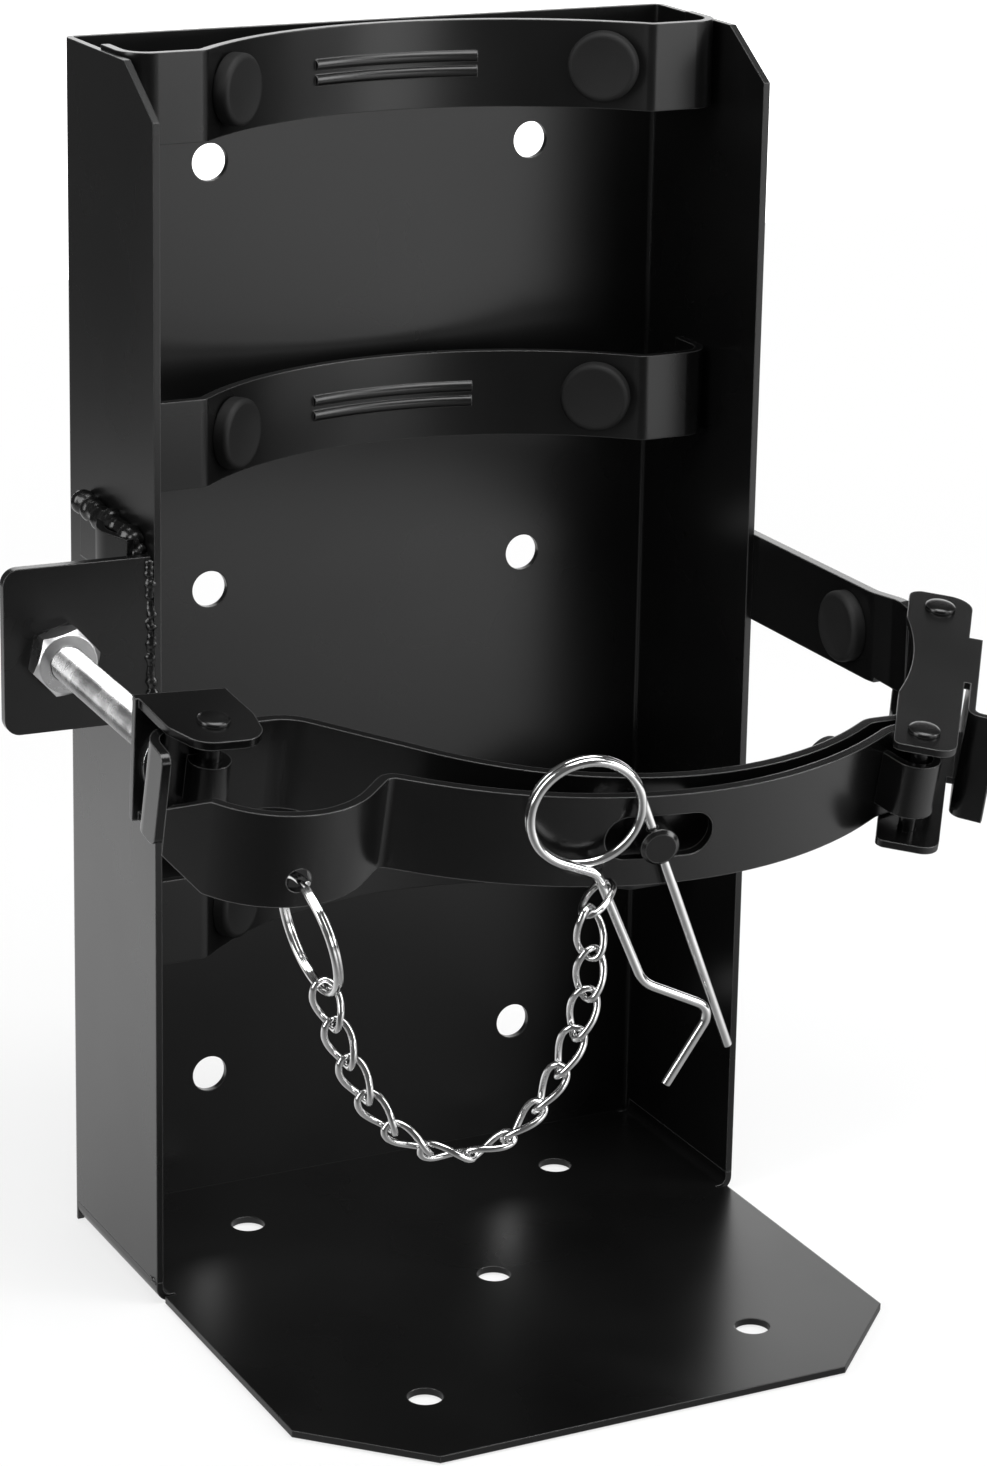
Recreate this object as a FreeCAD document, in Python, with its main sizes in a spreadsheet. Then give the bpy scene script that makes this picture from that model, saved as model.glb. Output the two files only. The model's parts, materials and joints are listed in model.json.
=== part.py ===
# Wall bracket for a portable fire extinguisher.
# A folded steel back channel stands on a base plate and carries three padded
# cradle straps.  A steel clamp band, hung between a screw adjuster on the left
# and a hinged arm on the right, is drawn tight by an over-centre toggle lever
# and locked by a hairpin on a short chain.
# Millimetres.  +X right, -Y to the front, +Z up.
# The origin is on the underside of the base, under its centre hole.
import FreeCAD, Part
import math
import os
import Sketcher
from FreeCAD import Placement, Rotation, Vector

doc = FreeCAD.newDocument("extinguisher_bracket")
sheet = doc.addObject("Spreadsheet::Sheet", "Sizes")

SIZES = [
    # folded back channel
    ("back_width", 190.0), ("back_height", 357.0), ("flange_depth", 66.5),
    ("sheet_thick", 2.0), ("bend_outer", 3.5), ("flange_cut_deep", 20.7),
    ("flange_cut_high", 13.8), ("wall_hole_dia", 11.0), ("wall_hole_pitch", 102.8),
    ("wall_hole_drop", 38.3), ("wall_hole_mid", 191.7), ("wall_hole_low", 38.8),
    # base plate
    ("base_from_wall", 93.4), ("base_reach", 94.0), ("base_nose_step", 2.1),
    ("base_corner_cut", 30.0), ("base_lip_high", 6.0), ("base_bend_outer", 4.3), ("bend_relief", 1.2),
    ("base_hole_dia", 10.0), ("base_hole_pitch_x", 103.4), ("base_hole_pitch_y", 122.4),
    ("centre_hole_dia", 10.0),
    # cradle straps and their pads
    ("cylinder_from_wall", 113.0), ("cradle_radius", 98.7), ("cradle_half_angle", 43.0),
    ("cradle_strap_tall", 25.4), ("cradle_strap_thick", 2.5), ("wing_from_wall", 43.0),
    ("wing_bend", 8.0), ("ear_bend", 3.0), ("wing_tab_deep", 18.0),
    ("top_strap_drop", -1.0), ("middle_strap_drop", 97.0), ("lower_strap_drop", 238.0),
    ("rib_radius", 1.7), ("rib_stand", 1.1), ("rib_pitch", 4.4), ("rib_half_angle", 15.0),
    ("pad_dia", 20.5), ("pad_thick", 5.0), ("pad_angle", 36.5), ("pad_round", 1.2),
    # general fits
    ("seat_gap", 0.05), ("pin_clearance", 0.08), ("hole_clearance", 0.5),
    # clamp plane
    ("clamp_height", 217.3), ("clamp_tilt", 10.5), ("clamp_roll", 1.7),
    ("band_tall", 25.4), ("band_thick", 2.5), ("band_radius", 101.25),
    ("band_centre_u", -5.0), ("band_centre_v", -9.0),
    ("band_left_angle", 42.0), ("band_right_angle", 31.0), ("band_tail_v", -59.3),
    ("band_tail_u", -139.6), ("band_tail_deep", 14.5), ("band_tail_bend", 7.0),
    ("band_tail_round", 3.0), ("band_pad_pitch", 36.0),
    # clevis and adjuster
    ("pin_c_u", -123.5), ("pin_c_dia", 6.0), ("pin_c_barrel_top", -7.5),
    ("pin_c_barrel_tall", 12.0), ("clevis_plate", 2.3), ("clevis_up", 3.2),
    ("clevis_down", -28.4), ("clevis_hole_u", -126.0), ("clevis_hole_v", -50.0),
    ("clevis_hole_w", -14.5), ("clevis_web_wide", 25.0), ("rivet_head_dia", 8.6),
    ("rivet_head_high", 1.4), ("bolt_dia", 10.0), ("bolt_tail", 30.0),
    ("rivet_head_slope", 0.5), ("nut_flats", 17.0), ("nut_high", 7.6), ("washer_dia", 21.0),
    ("washer_thick", 1.6), ("bolt_head_dia", 14.5), ("bolt_head_high", 2.6),
    ("ear_hole_x", -121.8), ("ear_hole_z", 197.1), ("ear_from_wall", 64.0),
    ("ear_thick", 3.0), ("ear_top", 25.9), ("ear_bottom", 21.1),
    ("ear_round", 4.5), ("ear_outer", 15.9), ("gusset_thick", 2.5), ("gusset_long", 44.0),
    ("gusset_bulge", 7.0), ("gusset_tall", 16.0), ("gusset_rise", 4.0),
    # hinge arm
    ("arm_thick", 2.8), ("arm_tall", 26.0), ("arm_centre_z", 196.0),
    ("arm_rear_from_wall", 12.0), ("arm_jog_from_wall", 132.0), ("arm_jog_long", 9.0),
    ("arm_pad_from_wall", 120.2), ("arm_pad_thick", 4.0),
    ("pin_a_u", 104.2), ("pin_a_v", -41.4), ("pin_a_dia", 6.4),
    # toggle
    ("knuckle_pin_dia", 5.0), ("pivot_stand_off", 11.35), ("pivot_angle", 43.0),
    ("middle_knuckle_tall", 14.0), ("crank_length", 20.03), ("crank_angle", 231.4),
    ("lever_radius", 125.0), ("lever_centre_u", -13.6), ("lever_front_v", -118.6),
    ("lever_right_u", 50.03), ("lever_left_u", -82.05), ("lever_thick", 2.5),
    ("lever_kink_bend", 15.0), ("lever_neck_bend", 4.0), ("grip_radius", 26.5),
    ("grip_corner_u", -118.5), ("grip_corner_v", -121.0), ("grip_end_u", -144.0),
    ("grip_end_v", -87.2), ("grip_cut", 6.3), ("slot_u", -23.4), ("slot_long", 29.5),
    ("slot_tall", 12.0), ("ring_hole_dia", 6.4), ("ring_hole_w", -18.0),
    ("ring_hole_u", -117.4), ("lever_eye_bore", 8.8), ("lever_eye_thick", 2.2),
    ("lever_eye_tall", 15.0), ("eye_shift_u", -0.28), ("eye_shift_v", 0.94),
    ("link_thick", 2.0), ("link_gap_top", 0.6), ("link_gap_bottom", 0.6),
    ("link_side", 9.0), ("link_end", 9.5), ("link_web_offset", 11.7),
    ("link_web_start", 16.0), ("link_web_end", 63.0), ("link_tab_long", 8.0),
    ("link_pin_dia", 4.6),
    # lock
    ("stud_dia", 10.0), ("stud_angle", 10.4), ("stud_reach", 15.7), ("stud_w", -11.7),
    ("stud_hole_from_tip", 3.0), ("clip_wire", 2.5), ("clip_slack", 0.5),
    ("clip_coil_radius", 14.5), ("clip_slope", 25.0), ("clip_leg_above", 17.5),
    ("clip_leg_below", 66.0), ("clip_root_angle", -107.0), ("clip_root_run", 9.5), ("clip_root_bend", 4.0), ("clip_knee_side", 0.3),
    ("clip_knee_drop", 38.0), ("clip_knee_bend", 9.0), ("clip_bulge_side", 20.4),
    ("clip_bulge_drop", 46.0), ("clip_bulge_bend", 4.5), ("clip_tip_side", 10.5),
    ("clip_tip_drop", 67.5), ("clip_lean", 2.8), ("ring_radius", 15.4), ("ring_wire", 1.8),
    ("chain_wire", 2.0), ("chain_inner_long", 11.7), ("chain_inner_wide", 4.6),
    ("ring_lean", 13.5), ("chain_links", 14), ("chain_hook_run", 4.5),
    ("chain_hook_swing", 50.0), ("chain_slack", 0.45),
]
for row, (alias, number) in enumerate(SIZES, start=1):
    sheet.set("A%d" % row, alias.replace("_", " "))
    sheet.set("B%d" % row, "%g" % number)
    sheet.setAlias("B%d" % row, alias)
doc.recompute()


class Size:
    """A number together with the sheet formula that it comes from."""

    def __init__(self, value, text):
        self.value, self.text = float(value), text

    def _join(self, other, sign, value):
        text = other.text if isinstance(other, Size) else repr(float(other))
        return Size(value, "(%s %s %s)" % (self.text, sign, text))

    def __float__(self):
        return self.value

    def __add__(self, other):
        return self._join(other, "+", self.value + float(other))

    def __sub__(self, other):
        return self._join(other, "-", self.value - float(other))

    def __mul__(self, other):
        return self._join(other, "*", self.value * float(other))

    def __truediv__(self, other):
        return self._join(other, "/", self.value / float(other))

    def __neg__(self):
        return Size(-self.value, "(0 - %s)" % self.text)


size = {}
for alias, number in SIZES:
    size[alias] = Size(float(sheet.get(alias)), "Sizes." + alias)


def val(alias):
    return size[alias].value


parts = []


def keep(obj, label):
    obj.Label = label
    parts.append(obj)
    return obj


def code_part(label, shape, placement=None):
    obj = doc.addObject("Part::Feature", label)
    obj.Shape = shape
    if placement is not None:
        obj.Placement = placement.multiply(shape.Placement)
    return keep(obj, label)


# Sketch helpers


def plane_of(body, role):
    return [f for f in body.Origin.OriginFeatures if f.Role == role][0]


def new_sketch(body, name, role):
    sketch = body.newObject("Sketcher::SketchObject", name)
    sketch.AttachmentSupport = (plane_of(body, role), [""])
    sketch.MapMode = "FlatFace"
    return sketch


def pin_point(sketch, geo, pos, x, y):
    for kind, size_, axis in (("DistanceX", x, -2), ("DistanceY", y, -1)):
        if abs(float(size_)) < 1e-9:
            sketch.addConstraint(Sketcher.Constraint("PointOnObject", geo, pos, axis))
            continue
        if float(size_) > 0:
            rule = Sketcher.Constraint(kind, -1, 1, geo, pos, float(size_))
            text = size_.text
        else:
            rule = Sketcher.Constraint(kind, geo, pos, -1, 1, -float(size_))
            text = (-size_).text
        index = sketch.addConstraint(rule)
        sketch.setExpression("Constraints[%d]" % index, text)


def outline(body, name, role, corners):
    sketch = new_sketch(body, name, role)
    first = sketch.GeometryCount
    flat = [Vector(float(x), float(y), 0) for x, y in corners]
    count = len(flat)
    for i in range(count):
        sketch.addGeometry(Part.LineSegment(flat[i], flat[(i + 1) % count]))
    for i in range(count):
        ends = (first + i, 2, first + (i + 1) % count, 1)
        sketch.addConstraint(Sketcher.Constraint("Coincident", *ends))
    for i, (x, y) in enumerate(corners):
        pin_point(sketch, first + i, 1, x, y)
    return sketch


def circles(body, name, role, rows):
    sketch = new_sketch(body, name, role)
    for x, y, diameter in rows:
        centre = Vector(float(x), float(y), 0)
        circle = Part.Circle(centre, Vector(0, 0, 1), float(diameter) / 2)
        geo = sketch.addGeometry(circle)
        pin_point(sketch, geo, 3, x, y)
        index = sketch.addConstraint(Sketcher.Constraint("Diameter", geo, float(diameter)))
        sketch.setExpression("Constraints[%d]" % index, diameter.text)
    return sketch


def extrude(body, kind, name, sketch, length, reverse=False):
    feature = body.newObject("PartDesign::" + kind, name)
    feature.Profile = sketch
    feature.Length = float(length)
    feature.setExpression("Length", length.text)
    feature.Reversed = reverse
    doc.recompute()
    body.Tip = feature
    return feature


def edges_where(shape, test):
    names = []
    for i, edge in enumerate(shape.Edges, start=1):
        if test(edge):
            names.append("Edge%d" % i)
    return names


def fillet(body, name, base, test, radius):
    feature = body.newObject("PartDesign::Fillet", name)
    feature.Base = (base, edges_where(base.Shape, test))
    feature.Radius = float(radius)
    feature.setExpression("Radius", radius.text)
    doc.recompute()
    body.Tip = feature
    return feature


def upright_at(x, y, tolerance=0.02):
    def test(edge):
        box = edge.BoundBox
        upright = box.XLength < 1e-4 and box.YLength < 1e-4 and box.ZLength > 1
        return upright and abs(abs(box.XMin) - x) < tolerance and abs(box.YMin - y) < tolerance
    return test


# Sheet-metal helpers: a strip standing on edge, its middle line given as corners


def left_of(way):
    return Vector(-way.y, way.x, 0)


def corner_arc(before, at, after, radius, shift):
    way_in = (at - before).normalize()
    way_out = (after - at).normalize()
    cross = way_in.x * way_out.y - way_in.y * way_out.x
    turn = math.atan2(cross, way_in.dot(way_out))
    side = 1.0 if turn > 0 else -1.0
    reach = radius * math.tan(abs(turn) / 2)
    centre = at - way_in * reach + left_of(way_in) * (radius * side)
    own = radius - shift * side
    start = centre - left_of(way_in) * (side * own)
    end = centre - left_of(way_out) * (side * own)
    middle = centre - (left_of(way_in) + left_of(way_out)).normalize() * (side * own)
    return start, middle, end


def run(corners, shift):
    flat = [Vector(x, y, 0) for x, y, _ in corners]
    here = flat[0] + left_of((flat[1] - flat[0]).normalize()) * shift
    edges, first = [], here
    for i in range(1, len(flat) - 1):
        start, middle, end = corner_arc(flat[i - 1], flat[i], flat[i + 1], corners[i][2], shift)
        if start.distanceToPoint(here) > 1e-5:
            edges.append(Part.LineSegment(here, start).toShape())
        edges.append(Part.Arc(start, middle, end).toShape())
        here = end
    last = flat[-1] + left_of((flat[-1] - flat[-2]).normalize()) * shift
    if last.distanceToPoint(here) > 1e-5:
        edges.append(Part.LineSegment(here, last).toShape())
    return edges, first, last


def strip(corners, thick, tall, low):
    near, a, b = run(corners, thick / 2)
    far, c, d = run(corners, -thick / 2)
    caps = [Part.LineSegment(a, c).toShape(), Part.LineSegment(b, d).toShape()]
    wire = Part.Wire(Part.__sortEdges__(near + far + caps))
    solid = Part.Face(wire).extrude(Vector(0, 0, tall))
    solid.translate(Vector(0, 0, low))
    return solid


def plate(corners, thick, low):
    flat = [Vector(x, y, 0) for x, y, _ in corners]
    count, edges, arcs = len(flat), [], []
    for i in range(count):
        arcs.append(corner_arc(flat[i - 1], flat[i], flat[(i + 1) % count], corners[i][2], 0.0))
    for i in range(count):
        start, middle, end = arcs[i]
        edges.append(Part.Arc(start, middle, end).toShape())
        follow = arcs[(i + 1) % count][0]
        if follow.distanceToPoint(end) > 1e-5:
            edges.append(Part.LineSegment(end, follow).toShape())
    wire = Part.Wire(Part.__sortEdges__(edges))
    solid = Part.Face(wire).extrude(Vector(0, 0, thick))
    solid.translate(Vector(0, 0, low))
    return solid


def rod(start, end, radius):
    way = end - start
    return Part.makeCylinder(radius, way.Length, start, way)


def tube(x, y, bore, thick, tall, low):
    base = Vector(x, y, low)
    return Part.makeCylinder(bore + thick, tall, base).cut(Part.makeCylinder(bore, tall, base))


def tangent_corner(centre, radius, angle_a, angle_b):
    """The corner whose rounding is the arc between two angles from the front."""
    middle = math.radians((angle_a + angle_b) / 2)
    half = math.radians((angle_b - angle_a) / 2)
    reach = radius / math.cos(half)
    return Vector(centre.x + reach * math.sin(middle), centre.y - reach * math.cos(middle), 0)


def on_circle(centre, radius, angle):
    turn = math.radians(angle)
    return centre + Vector(radius * math.sin(turn), -radius * math.cos(turn), 0)


def heading(angle):
    turn = math.radians(angle)
    return Vector(math.cos(turn), math.sin(turn), 0)


# Back channel: one folded sheet with the wall holes and the cut front corners

wall = size["base_from_wall"]
front = wall - size["flange_depth"]
half = size["back_width"] / 2
inner = half - size["sheet_thick"]
lip_rear = wall - size["bend_outer"] - 0.5

channel = doc.addObject("PartDesign::Body", "back_channel")
profile = outline(channel, "channel_profile", "XY_Plane", [
    (-half, front), (-half, wall), (half, wall), (half, front), (inner, front),
    (inner, wall - size["sheet_thick"]), (-inner, wall - size["sheet_thick"]),
    (-inner, front)])
fold = extrude(channel, "Pad", "channel_fold", profile, size["back_height"])
outer_bend = fillet(channel, "outer_bends", fold, upright_at(half.value, wall.value),
                    size["bend_outer"])
inner_bend = fillet(channel, "inner_bends", outer_bend,
                    upright_at(inner.value, wall.value - val("sheet_thick")),
                    size["bend_outer"] - size["sheet_thick"])
top = size["back_height"]
corner = outline(channel, "flange_corner", "YZ_Plane", [
    (front, top - size["flange_cut_high"]), (front, top + 1.0),
    (front + size["flange_cut_deep"], top + 1.0), (front + size["flange_cut_deep"], top)])
extrude(channel, "Pocket", "cut_right_corner", corner, size["back_width"])
corner_left = outline(channel, "flange_corner_left", "YZ_Plane", [
    (front, top - size["flange_cut_high"]), (front, top + 1.0),
    (front + size["flange_cut_deep"], top + 1.0), (front + size["flange_cut_deep"], top)])
extrude(channel, "Pocket", "cut_left_corner", corner_left, size["back_width"], True)
foot = outline(channel, "foot_relief", "XY_Plane", [
    (-half - 1.0, front - 1.0), (half + 1.0, front - 1.0),
    (half + 1.0, lip_rear + size["seat_gap"]), (-half - 1.0, lip_rear + size["seat_gap"])])
extrude(channel, "Pocket", "foot_cut", foot, size["base_lip_high"] + size["seat_gap"], True)
holes = circles(channel, "wall_holes", "XZ_Plane", [
    (side, level, size["wall_hole_dia"])
    for side in (-(size["wall_hole_pitch"] / 2), size["wall_hole_pitch"] / 2)
    for level in (top - size["wall_hole_drop"], size["wall_hole_mid"], size["wall_hole_low"])])
extrude(channel, "Pocket", "wall_hole_cut", holes, wall + 1.0)
keep(channel, "back_channel")

# Base plate: flat sheet with rolled side lips, cut nose corners and fixing holes

nose = half - size["base_nose_step"]
rear = wall - size["sheet_thick"] - size["seat_gap"]
cut = size["base_corner_cut"]
step = front + size["seat_gap"]
base = doc.addObject("PartDesign::Body", "base_plate")
root = half - size["base_bend_outer"] - size["bend_relief"]
flat = outline(base, "base_outline", "XY_Plane", [
    (-nose + cut, -size["base_reach"]), (nose - cut, -size["base_reach"]),
    (nose, -size["base_reach"] + cut), (nose, step - size["bend_relief"]),
    (root, step - size["bend_relief"]), (root, step), (half, step), (half, lip_rear),
    (root, lip_rear), (root, rear), (-root, rear), (-root, lip_rear),
    (-half, lip_rear), (-half, step), (-root, step), (-root, step - size["bend_relief"]),
    (-nose, step - size["bend_relief"]), (-nose, -size["base_reach"] + cut)])
extrude(base, "Pad", "base_sheet", flat, size["sheet_thick"])
lip_right = outline(base, "right_lip", "XY_Plane", [
    (inner, step), (half, step), (half, lip_rear), (inner, lip_rear)])
extrude(base, "Pad", "right_lip_pad", lip_right, size["base_lip_high"])
lip_left = outline(base, "left_lip", "XY_Plane", [
    (-half, step), (-inner, step), (-inner, lip_rear), (-half, lip_rear)])
lips = extrude(base, "Pad", "left_lip_pad", lip_left, size["base_lip_high"])


def along_lip(x, z):
    def test(edge):
        box = edge.BoundBox
        level = box.XLength < 1e-4 and box.ZLength < 1e-4 and box.YLength > 20
        return level and abs(abs(box.XMin) - x) < 0.02 and abs(box.ZMin - z) < 0.02
    return test


outer_roll = fillet(base, "outer_roll", lips, along_lip(half.value, 0.0),
                    size["base_bend_outer"])
inner_roll = fillet(base, "inner_roll", outer_roll, along_lip(inner.value, val("sheet_thick")),
                    size["base_bend_outer"] - size["sheet_thick"])
rows = [(size["base_hole_pitch_x"] / 2 * i, size["base_hole_pitch_y"] / 2 * j,
         size["base_hole_dia"]) for i in (-1, 1) for j in (-1, 1)]
rows.append((Size(0, "0"), Size(0, "0"), size["centre_hole_dia"]))
fixing = circles(base, "base_holes", "XY_Plane", rows)
extrude(base, "Pocket", "base_hole_cut", fixing, size["sheet_thick"] + 1.0, True)
keep(base, "base_plate")

# Cradle straps: bent strips welded between the flanges, with two pressed ribs

axis_y = wall.value - val("cylinder_from_wall")
mid_radius = val("cradle_radius") + val("cradle_strap_thick") / 2
wing_y = wall.value - val("wing_from_wall") + val("cradle_strap_thick") / 2
bow = math.radians(val("cradle_half_angle"))
tab_x = inner.value - val("seat_gap") - val("cradle_strap_thick") / 2
knee_x = mid_radius * math.sin(bow) + (mid_radius * math.cos(bow) + axis_y - wing_y) / math.tan(bow)
half_path = [(tab_x, wing_y + val("wing_tab_deep"), 0), (tab_x, wing_y, val("wing_bend")),
             (knee_x, wing_y, val("ear_bend"))]
mirrored = [(-x, y, r) for x, y, r in reversed(half_path)]
strap_path = half_path + [(0, axis_y + mid_radius / math.cos(bow), mid_radius)] + mirrored
cylinder_axis = Vector(0, axis_y, 0)


def rib(level):
    centre = Vector(0, axis_y + val("cradle_radius") + val("rib_radius") - val("rib_stand"), level)
    circle = Part.Wire(Part.makeCircle(val("rib_radius"), centre, Vector(1, 0, 0)))
    disc = Part.Face(circle)
    sweep = val("rib_half_angle")
    turned = disc.rotated(cylinder_axis, Vector(0, 0, 1), -sweep)
    return turned.revolve(cylinder_axis, Vector(0, 0, 1), 2 * sweep)


def cradle_strap(label, upper):
    low = upper - val("cradle_strap_tall")
    solid = strip(strap_path, val("cradle_strap_thick"), val("cradle_strap_tall"), low)
    middle = (upper + low) / 2
    behind = mid_radius + val("cradle_strap_thick") / 2
    inside = Part.makeCylinder(behind - 0.2, val("back_height"), Vector(0, axis_y, 0))
    for lift in (-0.5, 0.5):
        bead = rib(middle + lift * val("rib_pitch")).common(inside)
        solid = solid.fuse(bead)
    code_part(label, solid.removeSplitter())


def cradle_pad(label, upper, side):
    # a rubber button whose back is curved to seat on the strap
    turn = math.radians(val("pad_angle"))
    way = Vector(side * math.sin(turn), math.cos(turn), 0)
    level = upper - val("cradle_strap_tall") / 2
    face = val("cradle_radius") - val("seat_gap") - val("pad_thick")
    centre = Vector(0, axis_y, level)
    button = Part.makeCylinder(val("pad_dia") / 2, val("pad_thick") + 3, centre + way * face, way)
    rim = [e for e in button.Edges if (e.CenterOfMass - centre - way * face).Length < 0.01]
    button = button.makeChamfer(val("pad_round"), rim)
    seat = Part.makeCylinder(val("cradle_radius") - val("seat_gap"), 60, centre - Vector(0, 0, 30))
    code_part(label, button.common(seat))


for place in ("top", "middle", "lower"):
    strap_top = val("back_height") - val(place + "_strap_drop")
    cradle_strap(place + "_cradle_strap", strap_top)
    cradle_pad(place + "_left_pad", strap_top, -1)
    cradle_pad(place + "_right_pad", strap_top, 1)

# Clamp plane: u to the right, v to the back, w square to the band, 0 at its top edge

clamp = Placement(Vector(0, axis_y, val("clamp_height")),
                  Rotation(Vector(0, 1, 0), val("clamp_roll"))
                  * Rotation(Vector(1, 0, 0), val("clamp_tilt")))
tall = val("band_tall")
thick = val("band_thick")
middle_w = -tall / 2
band_centre = Vector(val("band_centre_u"), val("band_centre_v"), 0)
band_out = val("band_radius") + thick / 2
pin_c = Vector(val("pin_c_u"), val("band_tail_v") - val("pin_c_dia") / 2
               - val("pin_clearance") - thick / 2, 0)
pin_p = on_circle(band_centre, val("band_radius") + val("pivot_stand_off"), val("pivot_angle"))
crank = heading(val("crank_angle")) * val("crank_length")
pin_b = pin_p + crank
pin_a = Vector(val("pin_a_u"), val("pin_a_v"), 0)
knuckle_bore = val("knuckle_pin_dia") / 2 + val("pin_clearance")
knuckle_mid = knuckle_bore + thick / 2
knuckle_out = knuckle_bore + thick
knuckle_gap = 0.3
away = (pin_p - band_centre).normalize()
along = Vector(-away.y, away.x, 0)

# Clamp band: one strip from the clevis tail round the front to the toggle knuckle

left = val("band_left_angle")
right = val("band_right_angle")
arc_left = on_circle(band_centre, val("band_radius"), -left)
rise = val("band_tail_v") - arc_left.y
knee_u = arc_left.x - rise / math.tan(math.radians(left))
bow_corner = tangent_corner(band_centre, val("band_radius"), -left, right)
arc_right = on_circle(band_centre, val("band_radius"), right)
jog_start = arc_right + heading(right) * 4.0
roll_touch = pin_p - away * knuckle_mid
jog_end = roll_touch - along * 7.0
band_path = [
    (val("band_tail_u"), val("band_tail_v") - val("band_tail_deep"), 0),
    (val("band_tail_u"), val("band_tail_v"), val("band_tail_bend")),
    (knee_u, val("band_tail_v"), 14.0),
    (bow_corner.x, bow_corner.y, val("band_radius")),
    (jog_start.x, jog_start.y, 7.0),
    (jog_end.x, jog_end.y, 7.0),
    (roll_touch.x, roll_touch.y, 0)]
band = strip(band_path, thick, tall, -tall)
knuckle_low = middle_w - val("middle_knuckle_tall") / 2
# the strip is cut back above and below the middle knuckle
room = knuckle_out + knuckle_gap + 0.6
clearing = Part.makeCylinder(room, tall + 2, Vector(pin_p.x, pin_p.y, -tall - 1))
waist = Part.makeCylinder(room + 1, val("middle_knuckle_tall"),
                          Vector(pin_p.x, pin_p.y, knuckle_low))
band = band.cut(clearing.cut(waist))
band = band.fuse(tube(pin_p.x, pin_p.y, knuckle_bore, thick, val("middle_knuckle_tall"), knuckle_low))
band = band.cut(Part.makeCylinder(knuckle_bore, tall, Vector(pin_p.x, pin_p.y, -tall)))
barrel_bore = val("pin_c_dia") / 2 + val("pin_clearance")
barrel_low = val("pin_c_barrel_top") - val("pin_c_barrel_tall")
barrel = tube(pin_c.x, pin_c.y, barrel_bore, thick, val("pin_c_barrel_tall"), barrel_low)
band = band.fuse(barrel).cut(Part.makeCylinder(barrel_bore, tall, Vector(pin_c.x, pin_c.y, -tall)))
tail_round = val("band_tail_round")
corners = [e for e in band.Edges if e.BoundBox.YMax < val("band_tail_v") - val("band_tail_deep") + 0.01
           and e.BoundBox.XMax < val("band_tail_u") + thick and e.BoundBox.XLength > thick / 2]
band = band.makeFillet(tail_round, corners)
code_part("clamp_band", band, clamp)

# Rubber pads inside the clamp band
stud_way = on_circle(Vector(0, 0, 0), 1.0, -val("stud_angle"))


def band_pad(label, angle):
    way = on_circle(Vector(0, 0, 0), 1.0, angle)
    seat = val("band_radius") - thick / 2 - val("seat_gap")
    start = band_centre + Vector(0, 0, middle_w) + way * (seat - val("pad_thick"))
    button = Part.makeCylinder(val("pad_dia") / 2, val("pad_thick") + 3, start, way)
    rim = [e for e in button.Edges if (e.CenterOfMass - start).Length < 0.01]
    button = button.makeChamfer(val("pad_round"), rim)
    inside = Part.makeCylinder(seat, 60, band_centre + Vector(0, 0, -45))
    code_part(label, button.common(inside), clamp)


band_pad("left_band_pad", -val("stud_angle") - val("band_pad_pitch") + 5)
band_pad("middle_band_pad", -val("stud_angle"))
band_pad("right_band_pad", -val("stud_angle") + val("band_pad_pitch"))

# Lock stud: riveted to the band, reaching out through the lever's slot
stud_base = band_centre + Vector(0, 0, val("stud_w")) + stud_way * (band_out + val("seat_gap"))
stud_tip = stud_base + stud_way * val("stud_reach")
stud = rod(stud_base, stud_tip, val("stud_dia") / 2)
tip_rim = [e for e in stud.Edges if (e.CenterOfMass - stud_tip).Length < 0.01]
stud = stud.makeChamfer(1.0, tip_rim)
band_inside = Part.makeCylinder(band_out + val("seat_gap"), 60, band_centre + Vector(0, 0, -40))
stud_hole_at = stud_tip - stud_way * val("stud_hole_from_tip")
side_way = Vector(-stud_way.y, stud_way.x, 0)
if side_way.x < 0:
    side_way = side_way * -1
slope = math.radians(val("clip_slope"))
leg_way = side_way * math.sin(slope) - Vector(0, 0, math.cos(slope))
wire_r = val("clip_wire") / 2
hole_r = wire_r + val("clip_slack") / 2
cross = rod(stud_hole_at - leg_way * 12, stud_hole_at + leg_way * 12, hole_r)
code_part("lock_stud", stud.cut(cross).cut(band_inside), clamp)

# Lever: a bowed strip over the band, slotted for the stud, with a curled grip

lever_centre = Vector(val("lever_centre_u"), val("lever_front_v") + val("lever_radius"), 0)
lever_right = math.degrees(math.asin((val("lever_right_u") - lever_centre.x) / val("lever_radius")))
lever_left = math.degrees(math.asin((val("lever_left_u") - lever_centre.x) / val("lever_radius")))
roll_start = pin_p + away * knuckle_mid
bow_right = on_circle(lever_centre, val("lever_radius"), lever_right)
kink = bow_right + heading(lever_right) * 4.0
lever_bow = tangent_corner(lever_centre, val("lever_radius"), lever_left, lever_right)
bow_left = on_circle(lever_centre, val("lever_radius"), lever_left)
neck = bow_left + heading(180 + lever_left) * 8.3
lever_path = [
    (roll_start.x, roll_start.y, 0),
    (kink.x, kink.y, val("lever_kink_bend")),
    (lever_bow.x, lever_bow.y, val("lever_radius")),
    (neck.x, neck.y, val("lever_neck_bend")),
    (val("grip_corner_u"), val("grip_corner_v"), val("grip_radius")),
    (val("grip_end_u"), val("grip_end_v"), 0)]
lever_t = val("lever_thick")
lever = strip(lever_path, lever_t, tall, -tall)
side_tall = (tall - val("middle_knuckle_tall")) / 2 - knuckle_gap
for low in (-side_tall, -tall):
    lever = lever.fuse(tube(pin_p.x, pin_p.y, knuckle_bore, thick, side_tall, low))
# window for the band's own knuckle
window = Part.makeCylinder(room, val("middle_knuckle_tall") + 2 * knuckle_gap,
                           Vector(pin_p.x, pin_p.y, knuckle_low - knuckle_gap))
lever = lever.cut(window)
lever = lever.cut(Part.makeCylinder(knuckle_bore, tall, Vector(pin_p.x, pin_p.y, -tall)))
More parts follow.
